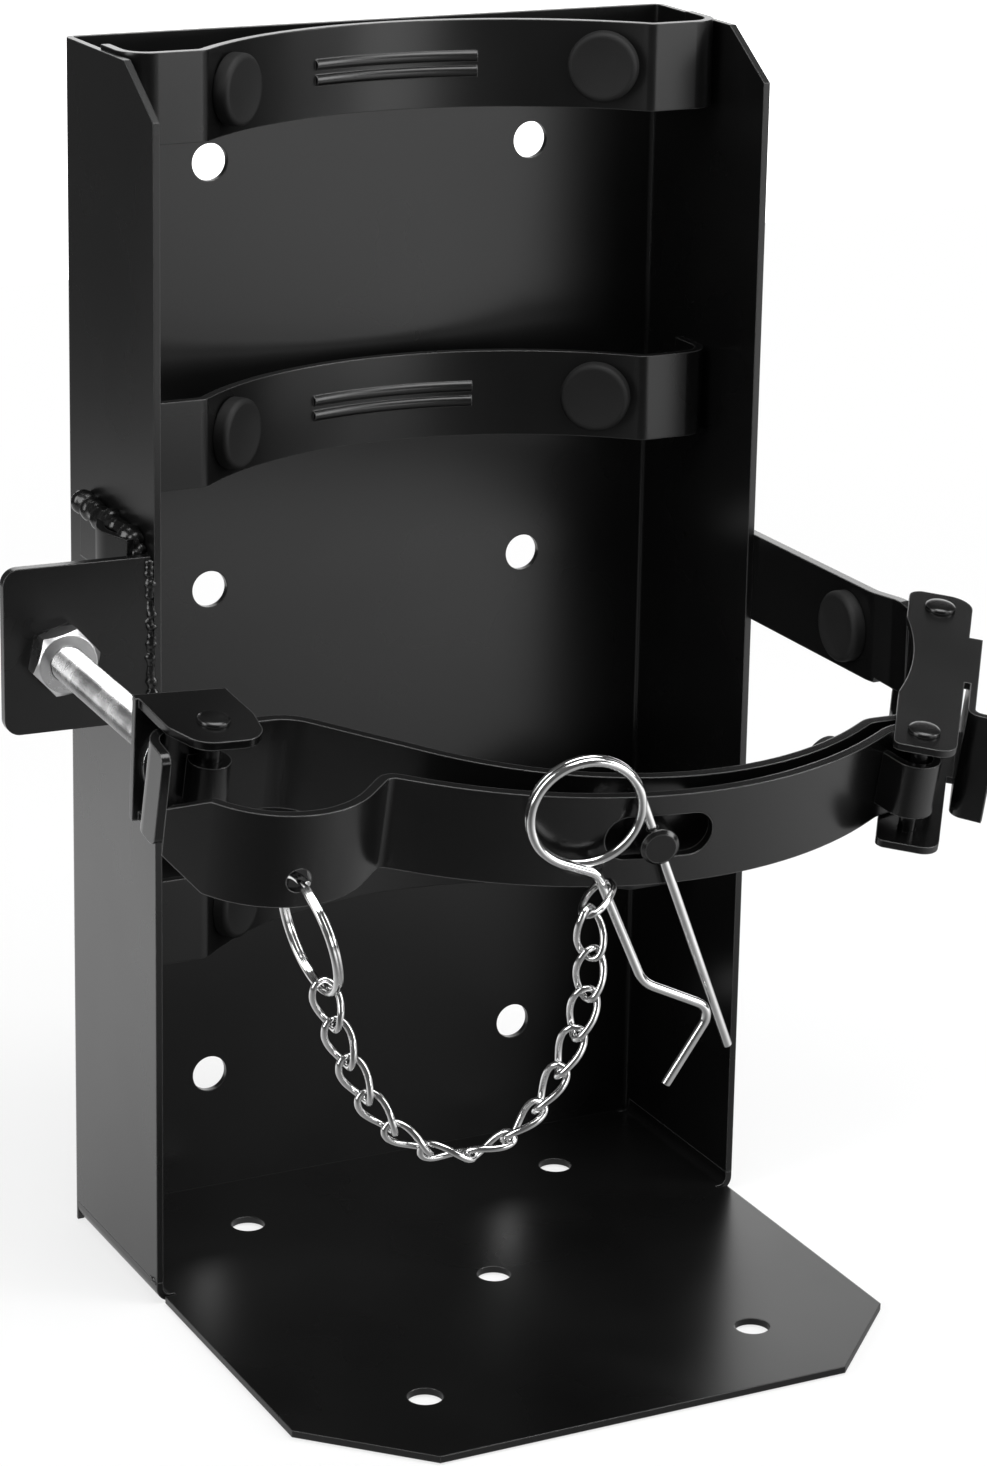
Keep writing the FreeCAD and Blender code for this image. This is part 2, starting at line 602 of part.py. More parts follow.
# slot with round ends
slot_r = val("slot_tall") / 2
reach = val("slot_long") / 2 - slot_r
slot_v = lever_centre.y - val("lever_radius")
slot = Part.makeBox(2 * reach, 30, 2 * slot_r, Vector(val("slot_u") - reach, slot_v - 15,
                                                      val("stud_w") - slot_r))
for end in (-1, 1):
    slot = slot.fuse(Part.makeCylinder(slot_r, 30, Vector(val("slot_u") + end * reach, slot_v - 15,
                                                          val("stud_w")), Vector(0, 1, 0)))
lever = lever.cut(slot)
# hole for the split ring
ring_hole = Vector(val("ring_hole_u"), val("grip_corner_v") - 5, val("ring_hole_w"))
lever = lever.cut(Part.makeCylinder(val("ring_hole_dia") / 2, 40, ring_hole, Vector(0, 1, 0)))
# the grip's end is narrowed to a tongue
grip_end = Vector(val("grip_end_u"), val("grip_end_v"), 0)
grip_way = (grip_end - Vector(val("grip_corner_u"), val("grip_corner_v"), 0)).normalize()
for edge_w, side in ((0.0, 1), (-tall, -1)):
    depth = val("grip_cut")
    back = grip_end - grip_way * 12.0
    a = back + Vector(0, 0, edge_w)
    b = grip_end + Vector(0, 0, edge_w - side * depth)
    c = grip_end + grip_way * 6 + Vector(0, 0, edge_w - side * depth)
    d = grip_end + grip_way * 6 + Vector(0, 0, edge_w + side * 3)
    e = back + Vector(0, 0, edge_w + side * 3)
    shift = left_of(grip_way) * 8
    wedge = Part.Face(Part.makePolygon([p - shift for p in (a, b, c, d, e, a)])).extrude(shift * 2)
    lever = lever.cut(wedge)
code_part("lever_band", lever, clamp)

# Lever eye: a bent loop on the lever's outer face that the link's pin drops into
eye_at = pin_b + Vector(val("eye_shift_u"), val("eye_shift_v"), 0)
flat_way = (roll_start - kink).normalize()
flat_out = Vector(flat_way.y, -flat_way.x, 0)
face_d = (eye_at - kink).dot(flat_out) - lever_t / 2 - val("seat_gap")
eye_mid = val("lever_eye_bore") / 2 + val("lever_eye_thick") / 2
foot_a = eye_at - flat_out * face_d - flat_way * eye_mid
foot_b = eye_at - flat_out * face_d + flat_way * eye_mid
top_a = eye_at + flat_out * eye_mid - flat_way * eye_mid
top_b = eye_at + flat_out * eye_mid + flat_way * eye_mid
eye_path = [(foot_a.x, foot_a.y, 0), (top_a.x, top_a.y, eye_mid - 0.001),
            (top_b.x, top_b.y, eye_mid - 0.001), (foot_b.x, foot_b.y, 0)]
eye = strip(eye_path, val("lever_eye_thick"), val("lever_eye_tall"),
            middle_w - val("lever_eye_tall") / 2)
eye = eye.cut(strip(lever_path, lever_t + 2 * val("seat_gap"), tall, -tall))
code_part("lever_eye", eye, clamp)

# Toggle link: top and bottom plates joined by a folded web on the outer side
link_way = (pin_b - pin_a).normalize()
link_out = Vector(-link_way.y, link_way.x, 0)
if link_out.dot(away) < 0:
    link_out = link_out * -1
span = (pin_b - pin_a).Length


def on_link(s, out):
    return pin_a + link_way * s + link_out * out


inner_edge = band_out + 0.4
tip_low = on_link(span + val("link_end"), -val("link_side") + 1.5)
tip_high = on_link(span + val("link_end"), val("link_side"))
heel_high = on_link(-val("link_end"), val("link_side"))
heel_low = on_link(-val("link_end"), -val("link_side"))
link_corners = [(tip_low.x, tip_low.y, 2.5), (tip_high.x, tip_high.y, 5.0),
                (heel_high.x, heel_high.y, 7.0), (heel_low.x, heel_low.y, 4.0)]
plate_top = val("link_gap_top")
plate_bottom = -tall - val("link_gap_bottom") - val("link_thick")
link = plate(link_corners, val("link_thick"), plate_top)
link = link.fuse(plate(link_corners, val("link_thick"), plate_bottom))
web_a = on_link(val("link_web_start"), val("link_web_offset"))
web_b = on_link(val("link_web_end"), val("link_web_offset"))
web_c = web_b + (link_out + link_way * 0.15).normalize() * val("link_tab_long")
web_tall = plate_top - plate_bottom + val("link_thick")
web_path = [(web_a.x, web_a.y, 0), (web_b.x, web_b.y, 3.0), (web_c.x, web_c.y, 0)]
web = strip(web_path, val("link_thick"), web_tall, plate_bottom)
fold_long = val("link_web_end") - val("link_web_start") - 18
for low in (plate_top, plate_bottom):
    side_a = on_link(val("link_web_start"), val("link_side") - 3)
    side_b = on_link(val("link_web_start") + fold_long, val("link_side") - 3)
    side_c = on_link(val("link_web_start") + fold_long, val("link_web_offset"))
    side_d = on_link(val("link_web_start"), val("link_web_offset"))
    bridge = Part.Face(Part.makePolygon([side_a, side_b, side_c, side_d, side_a]))
    bridge = bridge.extrude(Vector(0, 0, val("link_thick")))
    bridge.translate(Vector(0, 0, low))
    link = link.fuse(bridge)
link = link.fuse(web)
for pin, diameter in ((pin_a, val("pin_a_dia")), (pin_b, val("link_pin_dia"))):
    bore = Part.makeCylinder(diameter / 2 + val("seat_gap") / 2, 60, pin + Vector(0, 0, -45))
    link = link.cut(bore)
# the inner edges follow the band
hollow = Part.makeCylinder(inner_edge, 60, band_centre + Vector(0, 0, -45))
link = link.cut(hollow).removeSplitter()
code_part("toggle_link", link, clamp)

# Riveted pins: shank with a sloped head on each end


def riveted_pin(label, at, diameter, upper, lower):
    pieces = []
    shank = doc.addObject("Part::Cylinder", label + "_shank")
    shank.Radius = diameter / 2
    shank.Height = upper - lower
    shank.Placement = Placement(Vector(at.x, at.y, lower), Rotation())
    pieces.append(shank)
    for name, base_w, turn in (("upper_head", upper, 0), ("lower_head", lower, 180)):
        cone = doc.addObject("Part::Cone", label + "_" + name)
        cone.setExpression("Radius1", "Sizes.rivet_head_dia / 2")
        cone.setExpression("Radius2", "Sizes.rivet_head_dia / 2 - Sizes.rivet_head_slope")
        cone.setExpression("Height", "Sizes.rivet_head_high")
        cone.Placement = Placement(Vector(at.x, at.y, base_w), Rotation(Vector(1, 0, 0), turn))
        pieces.append(cone)
    joined = doc.addObject("Part::MultiFuse", label)
    joined.Shapes = pieces
    joined.Placement = clamp
    doc.recompute()
    return keep(joined, label)


gap = val("seat_gap")
riveted_pin("clevis_pin", pin_c, val("pin_c_dia"), val("clevis_up") + gap, val("clevis_down") - gap)
riveted_pin("link_rear_pin", pin_a, val("pin_a_dia"),
            plate_top + val("link_thick") + gap, plate_bottom - gap)
riveted_pin("link_front_pin", pin_b, val("link_pin_dia"),
            plate_top + val("link_thick") + gap, plate_bottom - gap)
pivot = doc.addObject("Part::Cylinder", "lever_pivot_pin")
pivot.setExpression("Radius", "Sizes.knuckle_pin_dia / 2")
pivot.setExpression("Height", "Sizes.band_tall")
pivot.Placement = clamp.multiply(Placement(Vector(pin_p.x, pin_p.y, -tall), Rotation()))
keep(pivot, "lever_pivot_pin")

# Adjuster: screw line from the ear on the left flange to the clevis web

ear_hole = Vector(val("ear_hole_x"), wall.value - val("ear_from_wall"), val("ear_hole_z"))
web_hole = clamp.multVec(Vector(val("clevis_hole_u"), val("clevis_hole_v"), val("clevis_hole_w")))
screw_way = (web_hole - ear_hole).normalize()
screw_long = (web_hole - ear_hole).Length
screw = Placement(ear_hole, Rotation(Vector(0, -1, 0), screw_way))
bolt_r = val("bolt_dia") / 2

# Clevis: two ears square to its pin, and a web square to the screw
clevis_t = val("clevis_plate")
ear_corners = [(-137.9, -44.0, 1.0), (-136.2, -64.0, 6.0), (-131.0, -74.6, 7.0),
               (-113.5, -75.2, 7.0), (-111.9, -62.0, 4.0), (-114.0, -44.0, 1.0)]
upper_ear = plate(ear_corners, clevis_t, val("clevis_up") - clevis_t)
lower_ear = plate(ear_corners, clevis_t, val("clevis_down"))
clevis_in = clamp.inverse()
local_way = clevis_in.Rotation.multVec(screw_way)
local_hole = Vector(val("clevis_hole_u"), val("clevis_hole_v"), val("clevis_hole_w"))
web_frame = Placement(local_hole, Rotation(Vector(0, -1, 0), local_way))
slab = Part.makeBox(val("clevis_web_wide"), clevis_t, 60,
                    Vector(-val("clevis_web_wide") / 2, -clevis_t, -30))
slab.Placement = web_frame
levels = Part.makeBox(80, 80, val("clevis_up") - val("clevis_down"),
                      Vector(-165, -90, val("clevis_down")))
web_plate = slab.common(levels)
behind = Part.makeBox(80, 40, 80, Vector(-40, 0, -40))
behind.Placement = web_frame
clevis = upper_ear.fuse(lower_ear).cut(behind).fuse(web_plate)
pin_bore = Part.makeCylinder(val("pin_c_dia") / 2 + gap / 2, 60, pin_c + Vector(0, 0, -45))
bolt_bore = rod(local_hole - local_way * 10, local_hole + local_way * 10,
                bolt_r + val("hole_clearance") / 2)
code_part("clevis", clevis.cut(pin_bore).cut(bolt_bore).removeSplitter(), clamp)

# In the screw frame the ear's front face is at y = 0 and the clevis is towards -y


def screw_part(label, shape):
    return code_part(label, shape, screw)


def ring_of(outer, inner_radius, start, length):
    base_point = Vector(0, -start, 0)
    way = Vector(0, -1, 0)
    body = Part.makeCylinder(outer, length, base_point, way)
    return body.cut(Part.makeCylinder(inner_radius, length, base_point, way))


def nut_shape(start):
    # a hexagon with both ends bevelled, bored to pass the screw
    across = val("nut_flats") / math.sqrt(3)
    ring = []
    for i in range(7):
        turn = math.radians(60 * i + 12)
        ring.append(Vector(across * math.cos(turn), -start, across * math.sin(turn)))
    body = Part.Face(Part.makePolygon(ring)).extrude(Vector(0, -val("nut_high"), 0))
    dome = Part.makeCone(across * 1.0 + 2.2, val("nut_flats") / 2 * 0.96, val("nut_high") / 2,
                         Vector(0, -start - val("nut_high") / 2, 0), Vector(0, -1, 0))
    other = Part.makeCone(across * 1.0 + 2.2, val("nut_flats") / 2 * 0.96, val("nut_high") / 2,
                          Vector(0, -start - val("nut_high") / 2, 0), Vector(0, 1, 0))
    body = body.common(dome.fuse(other))
    return body.cut(rod(Vector(0, 30, 0), Vector(0, -30, 0), bolt_r + gap))


screw_part("lock_nut", nut_shape(gap))
screw_part("rear_nut", nut_shape(-val("ear_thick") - gap - val("nut_high")))
seat = screw_long + clevis_t + gap
screw_part("clevis_washer", ring_of(val("washer_dia") / 2, bolt_r + 0.25, seat,
                                    val("washer_thick")))
head_at = seat + val("washer_thick") + gap
shank_start = Vector(0, val("bolt_tail"), 0)
bolt = Part.makeCylinder(bolt_r, val("bolt_tail") + head_at, shank_start, Vector(0, -1, 0))
tail_rim = [e for e in bolt.Edges if (e.CenterOfMass - shank_start).Length < 0.01]
bolt = bolt.makeChamfer(1.0, tail_rim)
bolt = bolt.fuse(Part.makeCylinder(val("bolt_head_dia") / 2, val("bolt_head_high"),
                                   Vector(0, -head_at, 0), Vector(0, -1, 0)))
screw_part("adjuster_bolt", bolt)

# Ear plate on the left flange, square to the screw
ear = doc.addObject("PartDesign::Body", "adjuster_ear")
ear_reach = -half - size["ear_hole_x"] - 0.6
ear_shape = outline(ear, "ear_outline", "XZ_Plane", [
    (-size["ear_outer"], -size["ear_bottom"]), (ear_reach - 7.0, -size["ear_bottom"]),
    (ear_reach, -size["ear_bottom"] + 9.0), (ear_reach, size["ear_top"]),
    (-size["ear_outer"], size["ear_top"])])
ear_pad = extrude(ear, "Pad", "ear_plate", ear_shape, size["ear_thick"], True)


def ear_corner(edge):
    box = edge.BoundBox
    across = box.XLength < 1e-4 and box.ZLength < 1e-4
    return across and abs(box.XMin + val("ear_outer")) < 0.02


fillet(ear, "ear_corners", ear_pad, ear_corner, size["ear_round"])
bolt_hole = circles(ear, "bolt_hole", "XZ_Plane", [
    (Size(0, "0"), Size(0, "0"), size["bolt_dia"] + size["hole_clearance"])])
extrude(ear, "Pocket", "bolt_hole_cut", bolt_hole, size["ear_thick"] + 1.0, False)
ear.Placement = screw
keep(ear, "adjuster_ear")

# Gusset: a curled strip that bulges from the flange behind the ear's top edge

gusset_t = val("gusset_thick")
flange_x = -half.value - gap - gusset_t / 2
ear_back = ear_hole.y + val("ear_thick") + gap
gusset_path = [(flange_x, ear_back + val("gusset_long"), 0),
               (flange_x, ear_back + val("gusset_long") * 0.7, 8.0),
               (flange_x - val("gusset_bulge"), ear_back + val("gusset_long") * 0.32, 12.0),
               (flange_x - val("gusset_bulge") * 0.45, ear_back + 1.0, 0)]
gusset = strip(gusset_path, gusset_t, val("gusset_tall"),
               val("ear_hole_z") + val("ear_top") + val("gusset_rise") - val("gusset_tall"))
code_part("ear_gusset", gusset)

# Hinge arm: strip on the right flange, its end rolled round the link's rear pin

arm_t = val("arm_thick")
arm_x = half.value + gap + arm_t / 2
arm_bore = val("pin_a_dia") / 2 + val("pin_clearance")
eye_world = clamp.multVec(pin_a + Vector(0, 0, middle_w))
lead_x = eye_world.x - arm_bore - arm_t / 2
arm_low = val("arm_centre_z") - val("arm_tall") / 2
arm_path = [(arm_x, wall.value - val("arm_rear_from_wall"), 0),
            (arm_x, wall.value - val("arm_jog_from_wall"), 10.0),
            (lead_x, wall.value - val("arm_jog_from_wall") - val("arm_jog_long"), 10.0),
            (lead_x, eye_world.y + 3.5, 0)]
arm = strip(arm_path, arm_t, val("arm_tall"), arm_low)
lead = pin_a.x - arm_bore - arm_t / 2
eye_lead = strip([(lead, pin_a.y + 10, 0), (lead, pin_a.y + 0.5, 0)], arm_t - 0.8,
                 tall - 4, -tall + 2)
roll = tube(pin_a.x, pin_a.y, arm_bore, arm_t, tall, -tall + 0.1).fuse(eye_lead)
roll.Placement = clamp
arm = arm.fuse(roll)
throat = Part.makeCylinder(arm_bore, 60, pin_a + Vector(0, 0, -45))
throat.Placement = clamp
arm = arm.cut(throat)
# the strap's edges are trimmed to turn freely between the link's plates
reach = val("link_end") + 5
for low in (-tall - val("link_gap_bottom") + 0.3 - 20, val("link_gap_top") - 0.3):
    trim = Part.makeBox(2 * reach, 2 * reach, 20, pin_a + Vector(-reach, -reach, low))
    trim.Placement = clamp.multiply(trim.Placement)
    arm = arm.cut(trim)
code_part("hinge_arm", arm)
pad_y = wall.value - val("arm_pad_from_wall")
arm_pad = Part.makeCylinder(val("pad_dia") / 2, val("arm_pad_thick"),
                            Vector(half.value, pad_y, val("arm_centre_z")), Vector(-1, 0, 0))
pad_rim = [e for e in arm_pad.Edges if abs(e.CenterOfMass.x - half.value
                                           + val("arm_pad_thick")) < 0.01
           and e.BoundBox.XLength < 0.01]
code_part("arm_pad", arm_pad.makeChamfer(val("pad_round"), pad_rim))

# Wire is drawn eight-sided and rings in short straights, which keeps them light


def wire_section(centre, out, across, radius):
    # out and across span the plane that the wire passes square
    corners = []
    for i in range(9):
        turn = math.radians(45 * i + 22.5)
        corners.append(centre + out * (radius * math.cos(turn)) + across * (radius * math.sin(turn)))
    return Part.makePolygon(corners)


def wire_ring(radius, wire, centre, way, straights=24):
    # one turn of wire round an axis through its centre
    sections = []
    for k in range(straights):
        turn = 2 * math.pi * k / straights
        out = Vector(math.cos(turn), math.sin(turn), 0)
        sections.append(wire_section(out * radius, out, Vector(0, 0, 1), wire))
    turn = Part.makeLoft(sections, True, True, True)
    turn.Placement = Placement(centre, Rotation(Vector(0, 0, 1), way))
    return turn


# Hairpin: straight leg through the stud, double coil, and the bent spring leg

leg_top = stud_hole_at - leg_way * val("clip_leg_above")
leg_end = stud_hole_at + leg_way * val("clip_leg_below")
coil_side = side_way * math.cos(slope) + Vector(0, 0, math.sin(slope))
coil_r = val("clip_coil_radius")
coil_at = leg_top - coil_side * coil_r
lift = stud_way * (val("clip_wire") - 0.1)
clip = rod(leg_top, leg_end, wire_r)
for turn_at in (coil_at, coil_at + lift):
    clip = clip.fuse(wire_ring(coil_r, wire_r, turn_at, stud_way))
# the spring leg lies one wire further out, and leans out to pass the stud's end
lies = Placement(stud_hole_at + lift, Rotation(side_way, Vector(0, 0, 1), stud_way, "XYZ"))
coil_flat = lies.inverse().multVec(coil_at + lift)
root_turn = math.radians(val("clip_root_angle"))
root = coil_flat + Vector(math.cos(root_turn), math.sin(root_turn), 0) * coil_r
root_way = Vector(-math.sin(root_turn), math.cos(root_turn), 0)
turn_off = root + root_way * val("clip_root_run")
spring_run = run([
    (root.x, root.y, 0), (turn_off.x, turn_off.y, val("clip_root_bend")),
    (val("clip_knee_side"), -val("clip_knee_drop"), val("clip_knee_bend")),
    (val("clip_bulge_side"), -val("clip_bulge_drop"), val("clip_bulge_bend")),
    (val("clip_tip_side"), -val("clip_tip_drop"), 0)], 0.0)[0]
spring_wire = Part.Wire(Part.__sortEdges__(spring_run))
section = wire_section(root, Vector(0, 0, 1).cross(root_way), Vector(0, 0, 1), wire_r)
spring_leg = spring_wire.makePipeShell([section], True, True)
lean = Placement(Vector(0, 0, 0), Rotation(Vector(-1, 0, 0), val("clip_lean")), root)
spring_leg.Placement = lies.multiply(lean)
clip = clip.fuse(spring_leg)
code_part("hitch_pin", clip, clamp)

# Split ring: two turns of wire hanging through the grip's hole

hole_world = clamp.multVec(Vector(val("ring_hole_u"), -108.0, val("ring_hole_w")))
ring_r = val("ring_radius")
ring_wire = val("ring_wire") / 2
ring_turn = math.radians(val("ring_lean"))
ring_down = Vector(math.sin(ring_turn), 0, -math.cos(ring_turn))
ring_axis = Vector(math.cos(ring_turn), 0, math.sin(ring_turn))
ring_centre = hole_world + ring_down * ring_r
turns = [wire_ring(ring_r, ring_wire, ring_centre + ring_axis * (side * ring_wire * 0.9), ring_axis)
         for side in (-1, 1)]
code_part("split_ring", turns[0].fuse(turns[1]).removeSplitter())

# Chain: oval links on a free hanging curve from the ring to the hairpin's coil


def chain_link(centre, way, normal, wide, wire):
    bend = (wide + wire) / 2
    half_straight = (val("chain_inner_long") + wire) / 2 - bend
    sections = []
    for end in (1, -1):
        for k in range(7):
            turn = math.pi * (k / 6 if end > 0 else 1 + k / 6)
            out = Vector(math.cos(turn), 0, math.sin(turn))
            spot = out * bend + Vector(0, 0, end * half_straight)
            sections.append(wire_section(spot, out, Vector(0, 1, 0), wire / 2))
    link_solid = Part.makeLoft(sections, True, True, True)
    turn = Rotation(normal.cross(way), normal, way, "ZYX")
    link_solid.Placement = Placement(centre, turn)
    return link_solid


# the last link hooks the spring leg below its first bend and swings out and down
drop_way = (Vector(val("clip_knee_side"), -val("clip_knee_drop"), 0) - turn_off).normalize()
hook_swing = math.radians(val("chain_hook_swing"))
out_way = left_of(drop_way) * -math.cos(hook_swing) + Vector(0, 0, math.sin(hook_swing))
clip_frame = clamp.multiply(lies.multiply(lean))
hook_at = clip_frame.multVec(turn_off + drop_way * val("chain_hook_run"))
last_way = clip_frame.Rotation.multVec(out_way)
last_normal = clip_frame.Rotation.multVec(drop_way)
last_reach = val("chain_inner_long") / 2 - wire_r - val("chain_slack")
last_spot = hook_at + last_way * last_reach

ring_low = ring_centre + ring_down * ring_r
chain_top = last_spot + last_way * ((val("chain_inner_long") + val("chain_wire")) / 2)
chain_sag = [(-103.5, 129.5), (-90.6, 112.3), (-77.0, 108.0), (-64.4, 114.3), (-54.0, 131.0),
             (-48.5, 150.0)]
forward = (chain_top.y - ring_low.y) / (chain_top.x - ring_low.x)
hang = [Vector(x, ring_low.y + (x - ring_low.x) * forward, z) for x, z in chain_sag]
curve = Part.BSplineCurve()
curve.interpolate([ring_low] + hang + [chain_top])
total = curve.length()
count = int(val("chain_links"))
first_at = val("chain_inner_long") / 2 - ring_wire - val("chain_slack")
last_at = total - val("chain_inner_long") / 2 + val("chain_wire") / 2 + val("chain_slack") / 2
pitch = (last_at - first_at) / (count - 2)
ring_side = Vector(0, 1, 0)
links = [chain_link(last_spot, last_way, last_normal, val("chain_inner_wide"), val("chain_wire"))]
for i in range(count - 1):
    where = curve.parameterAtDistance(first_at + pitch * i, curve.FirstParameter)
    spot = curve.value(where)
    way = Vector(*curve.tangent(where)[0])
    normal = ring_side if i % 2 == 0 else way.cross(ring_side)
    if i == count - 2:
        normal = last_way.cross(last_normal)
    links.append(chain_link(spot, way, normal, val("chain_inner_wide"), val("chain_wire")))
print("chain: %d links, length %.1f mm, pitch %.2f mm" % (count, total, pitch))
code_part("safety_chain", Part.makeCompound(links))

# Write one file for each piece

doc.recompute()
os.makedirs("parts", exist_ok=True)
for obj in doc.Objects:
    if "Invalid" in obj.State or "Error" in obj.State:
        raise RuntimeError("%s is %s" % (obj.Label, obj.State))
for obj in parts:
    if obj.Shape.isNull() or not obj.Shape.isValid():
        raise RuntimeError("%s has no valid shape" % obj.Label)
for obj in parts:
    obj.Shape.exportStep("parts/%s.step" % obj.Label)
    box = obj.Shape.BoundBox
    print("%-22s solids %2d volume %9.1f  x %7.1f %7.1f  y %7.1f %7.1f  z %7.1f %7.1f" % (
        obj.Label, len(obj.Shape.Solids), obj.Shape.Volume, box.XMin, box.XMax,
        box.YMin, box.YMax, box.ZMin, box.ZMax))
print("pieces:", len(parts))
for name, spot in (("clevis pin", pin_c), ("link rear pin", pin_a), ("link front pin", pin_b),
                   ("lever pivot", pin_p)):
    at = clamp.multVec(spot + Vector(0, 0, middle_w))
    print("%-15s %9.3f %9.3f %9.3f" % (name, at.x, at.y, at.z))
square = clamp.Rotation.multVec(Vector(0, 0, 1))
pull = clamp.Rotation.multVec(leg_way) * -1
print("hinge axis %.6f %.6f %.6f  pull %.6f %.6f %.6f" % (*square, *pull))
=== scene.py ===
# %% [markdown]
# A steel bracket that carries an extinguisher's cylinder. The folded channel,
# the base, the straps and the clamp come from the model as they are. This
# script gives them their finishes, and adds what a smooth finish needs to
# look right: turned pins, bent wire, a twisted chain, thread and welds.

# %% load the model
import json
import math
import random
import bpy
import numpy as np
from mathutils import Matrix, Vector


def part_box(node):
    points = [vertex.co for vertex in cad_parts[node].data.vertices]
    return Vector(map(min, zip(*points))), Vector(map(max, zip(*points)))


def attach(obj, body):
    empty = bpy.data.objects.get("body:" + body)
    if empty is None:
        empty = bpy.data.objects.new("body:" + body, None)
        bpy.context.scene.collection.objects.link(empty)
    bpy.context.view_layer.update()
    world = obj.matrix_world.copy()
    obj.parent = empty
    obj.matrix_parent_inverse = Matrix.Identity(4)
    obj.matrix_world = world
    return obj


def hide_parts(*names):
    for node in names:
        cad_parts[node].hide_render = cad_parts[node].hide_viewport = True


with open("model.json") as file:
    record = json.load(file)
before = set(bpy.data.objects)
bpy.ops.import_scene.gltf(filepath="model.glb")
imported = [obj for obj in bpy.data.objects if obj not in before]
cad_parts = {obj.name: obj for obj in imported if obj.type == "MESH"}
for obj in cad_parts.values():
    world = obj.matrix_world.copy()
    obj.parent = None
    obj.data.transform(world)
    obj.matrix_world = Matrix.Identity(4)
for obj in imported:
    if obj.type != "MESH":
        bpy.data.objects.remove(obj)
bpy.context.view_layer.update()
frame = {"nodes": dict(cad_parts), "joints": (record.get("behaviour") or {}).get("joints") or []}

nodes = frame["nodes"]
joints = {joint["name"]: joint for joint in frame["joints"]}
random.seed(7)
mm = 0.001

# %% [markdown]
# The clamp is tilted against the channel, so its pieces are easiest to place
# in a frame of its own. Its upright is the hinge axis that the model gives.
# A second frame stands on the cross-drilled stud, where the hairpin goes.

# %% frames to work in


def frame_of(origin, x_way, z_way):
    z_way = Vector(z_way).normalized()
    x_way = (Vector(x_way) - z_way * Vector(x_way).dot(z_way)).normalized()
    turn = Matrix((x_way, z_way.cross(x_way), z_way)).transposed()
    return Matrix.Translation(origin) @ turn.to_4x4()


def box_in(place, name):
    # lowest and highest corners of a node, measured in a frame
    inverse = place.inverted()
    points = np.array([inverse @ vertex.co for vertex in nodes[name].data.vertices])
    return Vector(points.min(axis=0)), Vector(points.max(axis=0))


hinge_axis = Vector(joints["band_swing"]["axis"])
level_way = Vector((hinge_axis.z, 0, -hinge_axis.x))
clamp = frame_of(Vector(), level_way, hinge_axis)
stud_angle = math.radians(10.4)
stud_way = clamp.to_3x3() @ Vector((-math.sin(stud_angle), -math.cos(stud_angle), 0))
stud_side = stud_way.cross(hinge_axis)
if stud_side.x < 0:
    stud_side = -stud_side
stud = frame_of(Vector(), stud_side, stud_way)
stud_low, stud_high = box_in(stud, "lock_stud")
hole_from_tip = 3.0 * mm
stud_hole = Vector(((stud_low.x + stud_high.x) / 2, (stud_low.y + stud_high.y) / 2,
                    stud_high.z - hole_from_tip))
stud = stud @ Matrix.Translation(stud_hole)
print("stud hole at", [round(v, 4) for v in stud.translation])

# %% [markdown]
# Every added piece is modelled at the origin, where its sizes are easy to
# read, and then carried to its place. Applying the transform leaves the
# object itself at the origin, so that patterns stay still on every piece.

# %% hands for placing


def pick(*objects):
    if bpy.context.mode != "OBJECT":
        bpy.ops.object.mode_set(mode="OBJECT")
    bpy.ops.object.select_all(action="DESELECT")
    for obj in objects:
        obj.select_set(True)
    bpy.context.view_layer.objects.active = objects[0]


def carry(obj, place):
    bpy.context.view_layer.update()
    pick(obj)
    obj.matrix_world = place @ obj.matrix_world
    bpy.ops.object.transform_apply(location=True, rotation=True, scale=True)
    return obj


def joined(name, pieces):
    pick(*pieces)
    if len(pieces) > 1:
        bpy.ops.object.join()
    piece = bpy.context.view_layer.objects.active
    piece.name = name
    return piece


def smooth(obj, degrees=35):
    pick(obj)
    bpy.ops.object.shade_smooth_by_angle(angle=math.radians(degrees))
    return obj


def finish(obj, body, slot, material, *stands_for):
    obj.data.materials.clear()
    obj.data.materials.append(material)
    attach(obj, body)
    if stands_for:
        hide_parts(*stands_for)
    print(obj.name, "has", len(obj.data.polygons), "faces and rides on", body)


# %% [markdown]
# Powder coat, rubber and plating all have a fine grain and a slow change in
# gloss. One group gives both, and each material places it with its own
# numbers. A second group finds the edges, rounds their shading and lightens
# their colour: a painted highlight, a narrow bright line along every folded sheet.

# %% shader groups


def new_group(name, inputs, outputs):
    group = bpy.data.node_groups.new(name, "ShaderNodeTree")
    for title, kind, value in inputs:
        socket = group.interface.new_socket(title, in_out="INPUT", socket_type=kind)
        socket.default_value = value
    for title, kind in outputs:
        group.interface.new_socket(title, in_out="OUTPUT", socket_type=kind)
    entry = group.nodes.new("NodeGroupInput")
    leave = group.nodes.new("NodeGroupOutput")
    return group, entry.outputs, leave.inputs


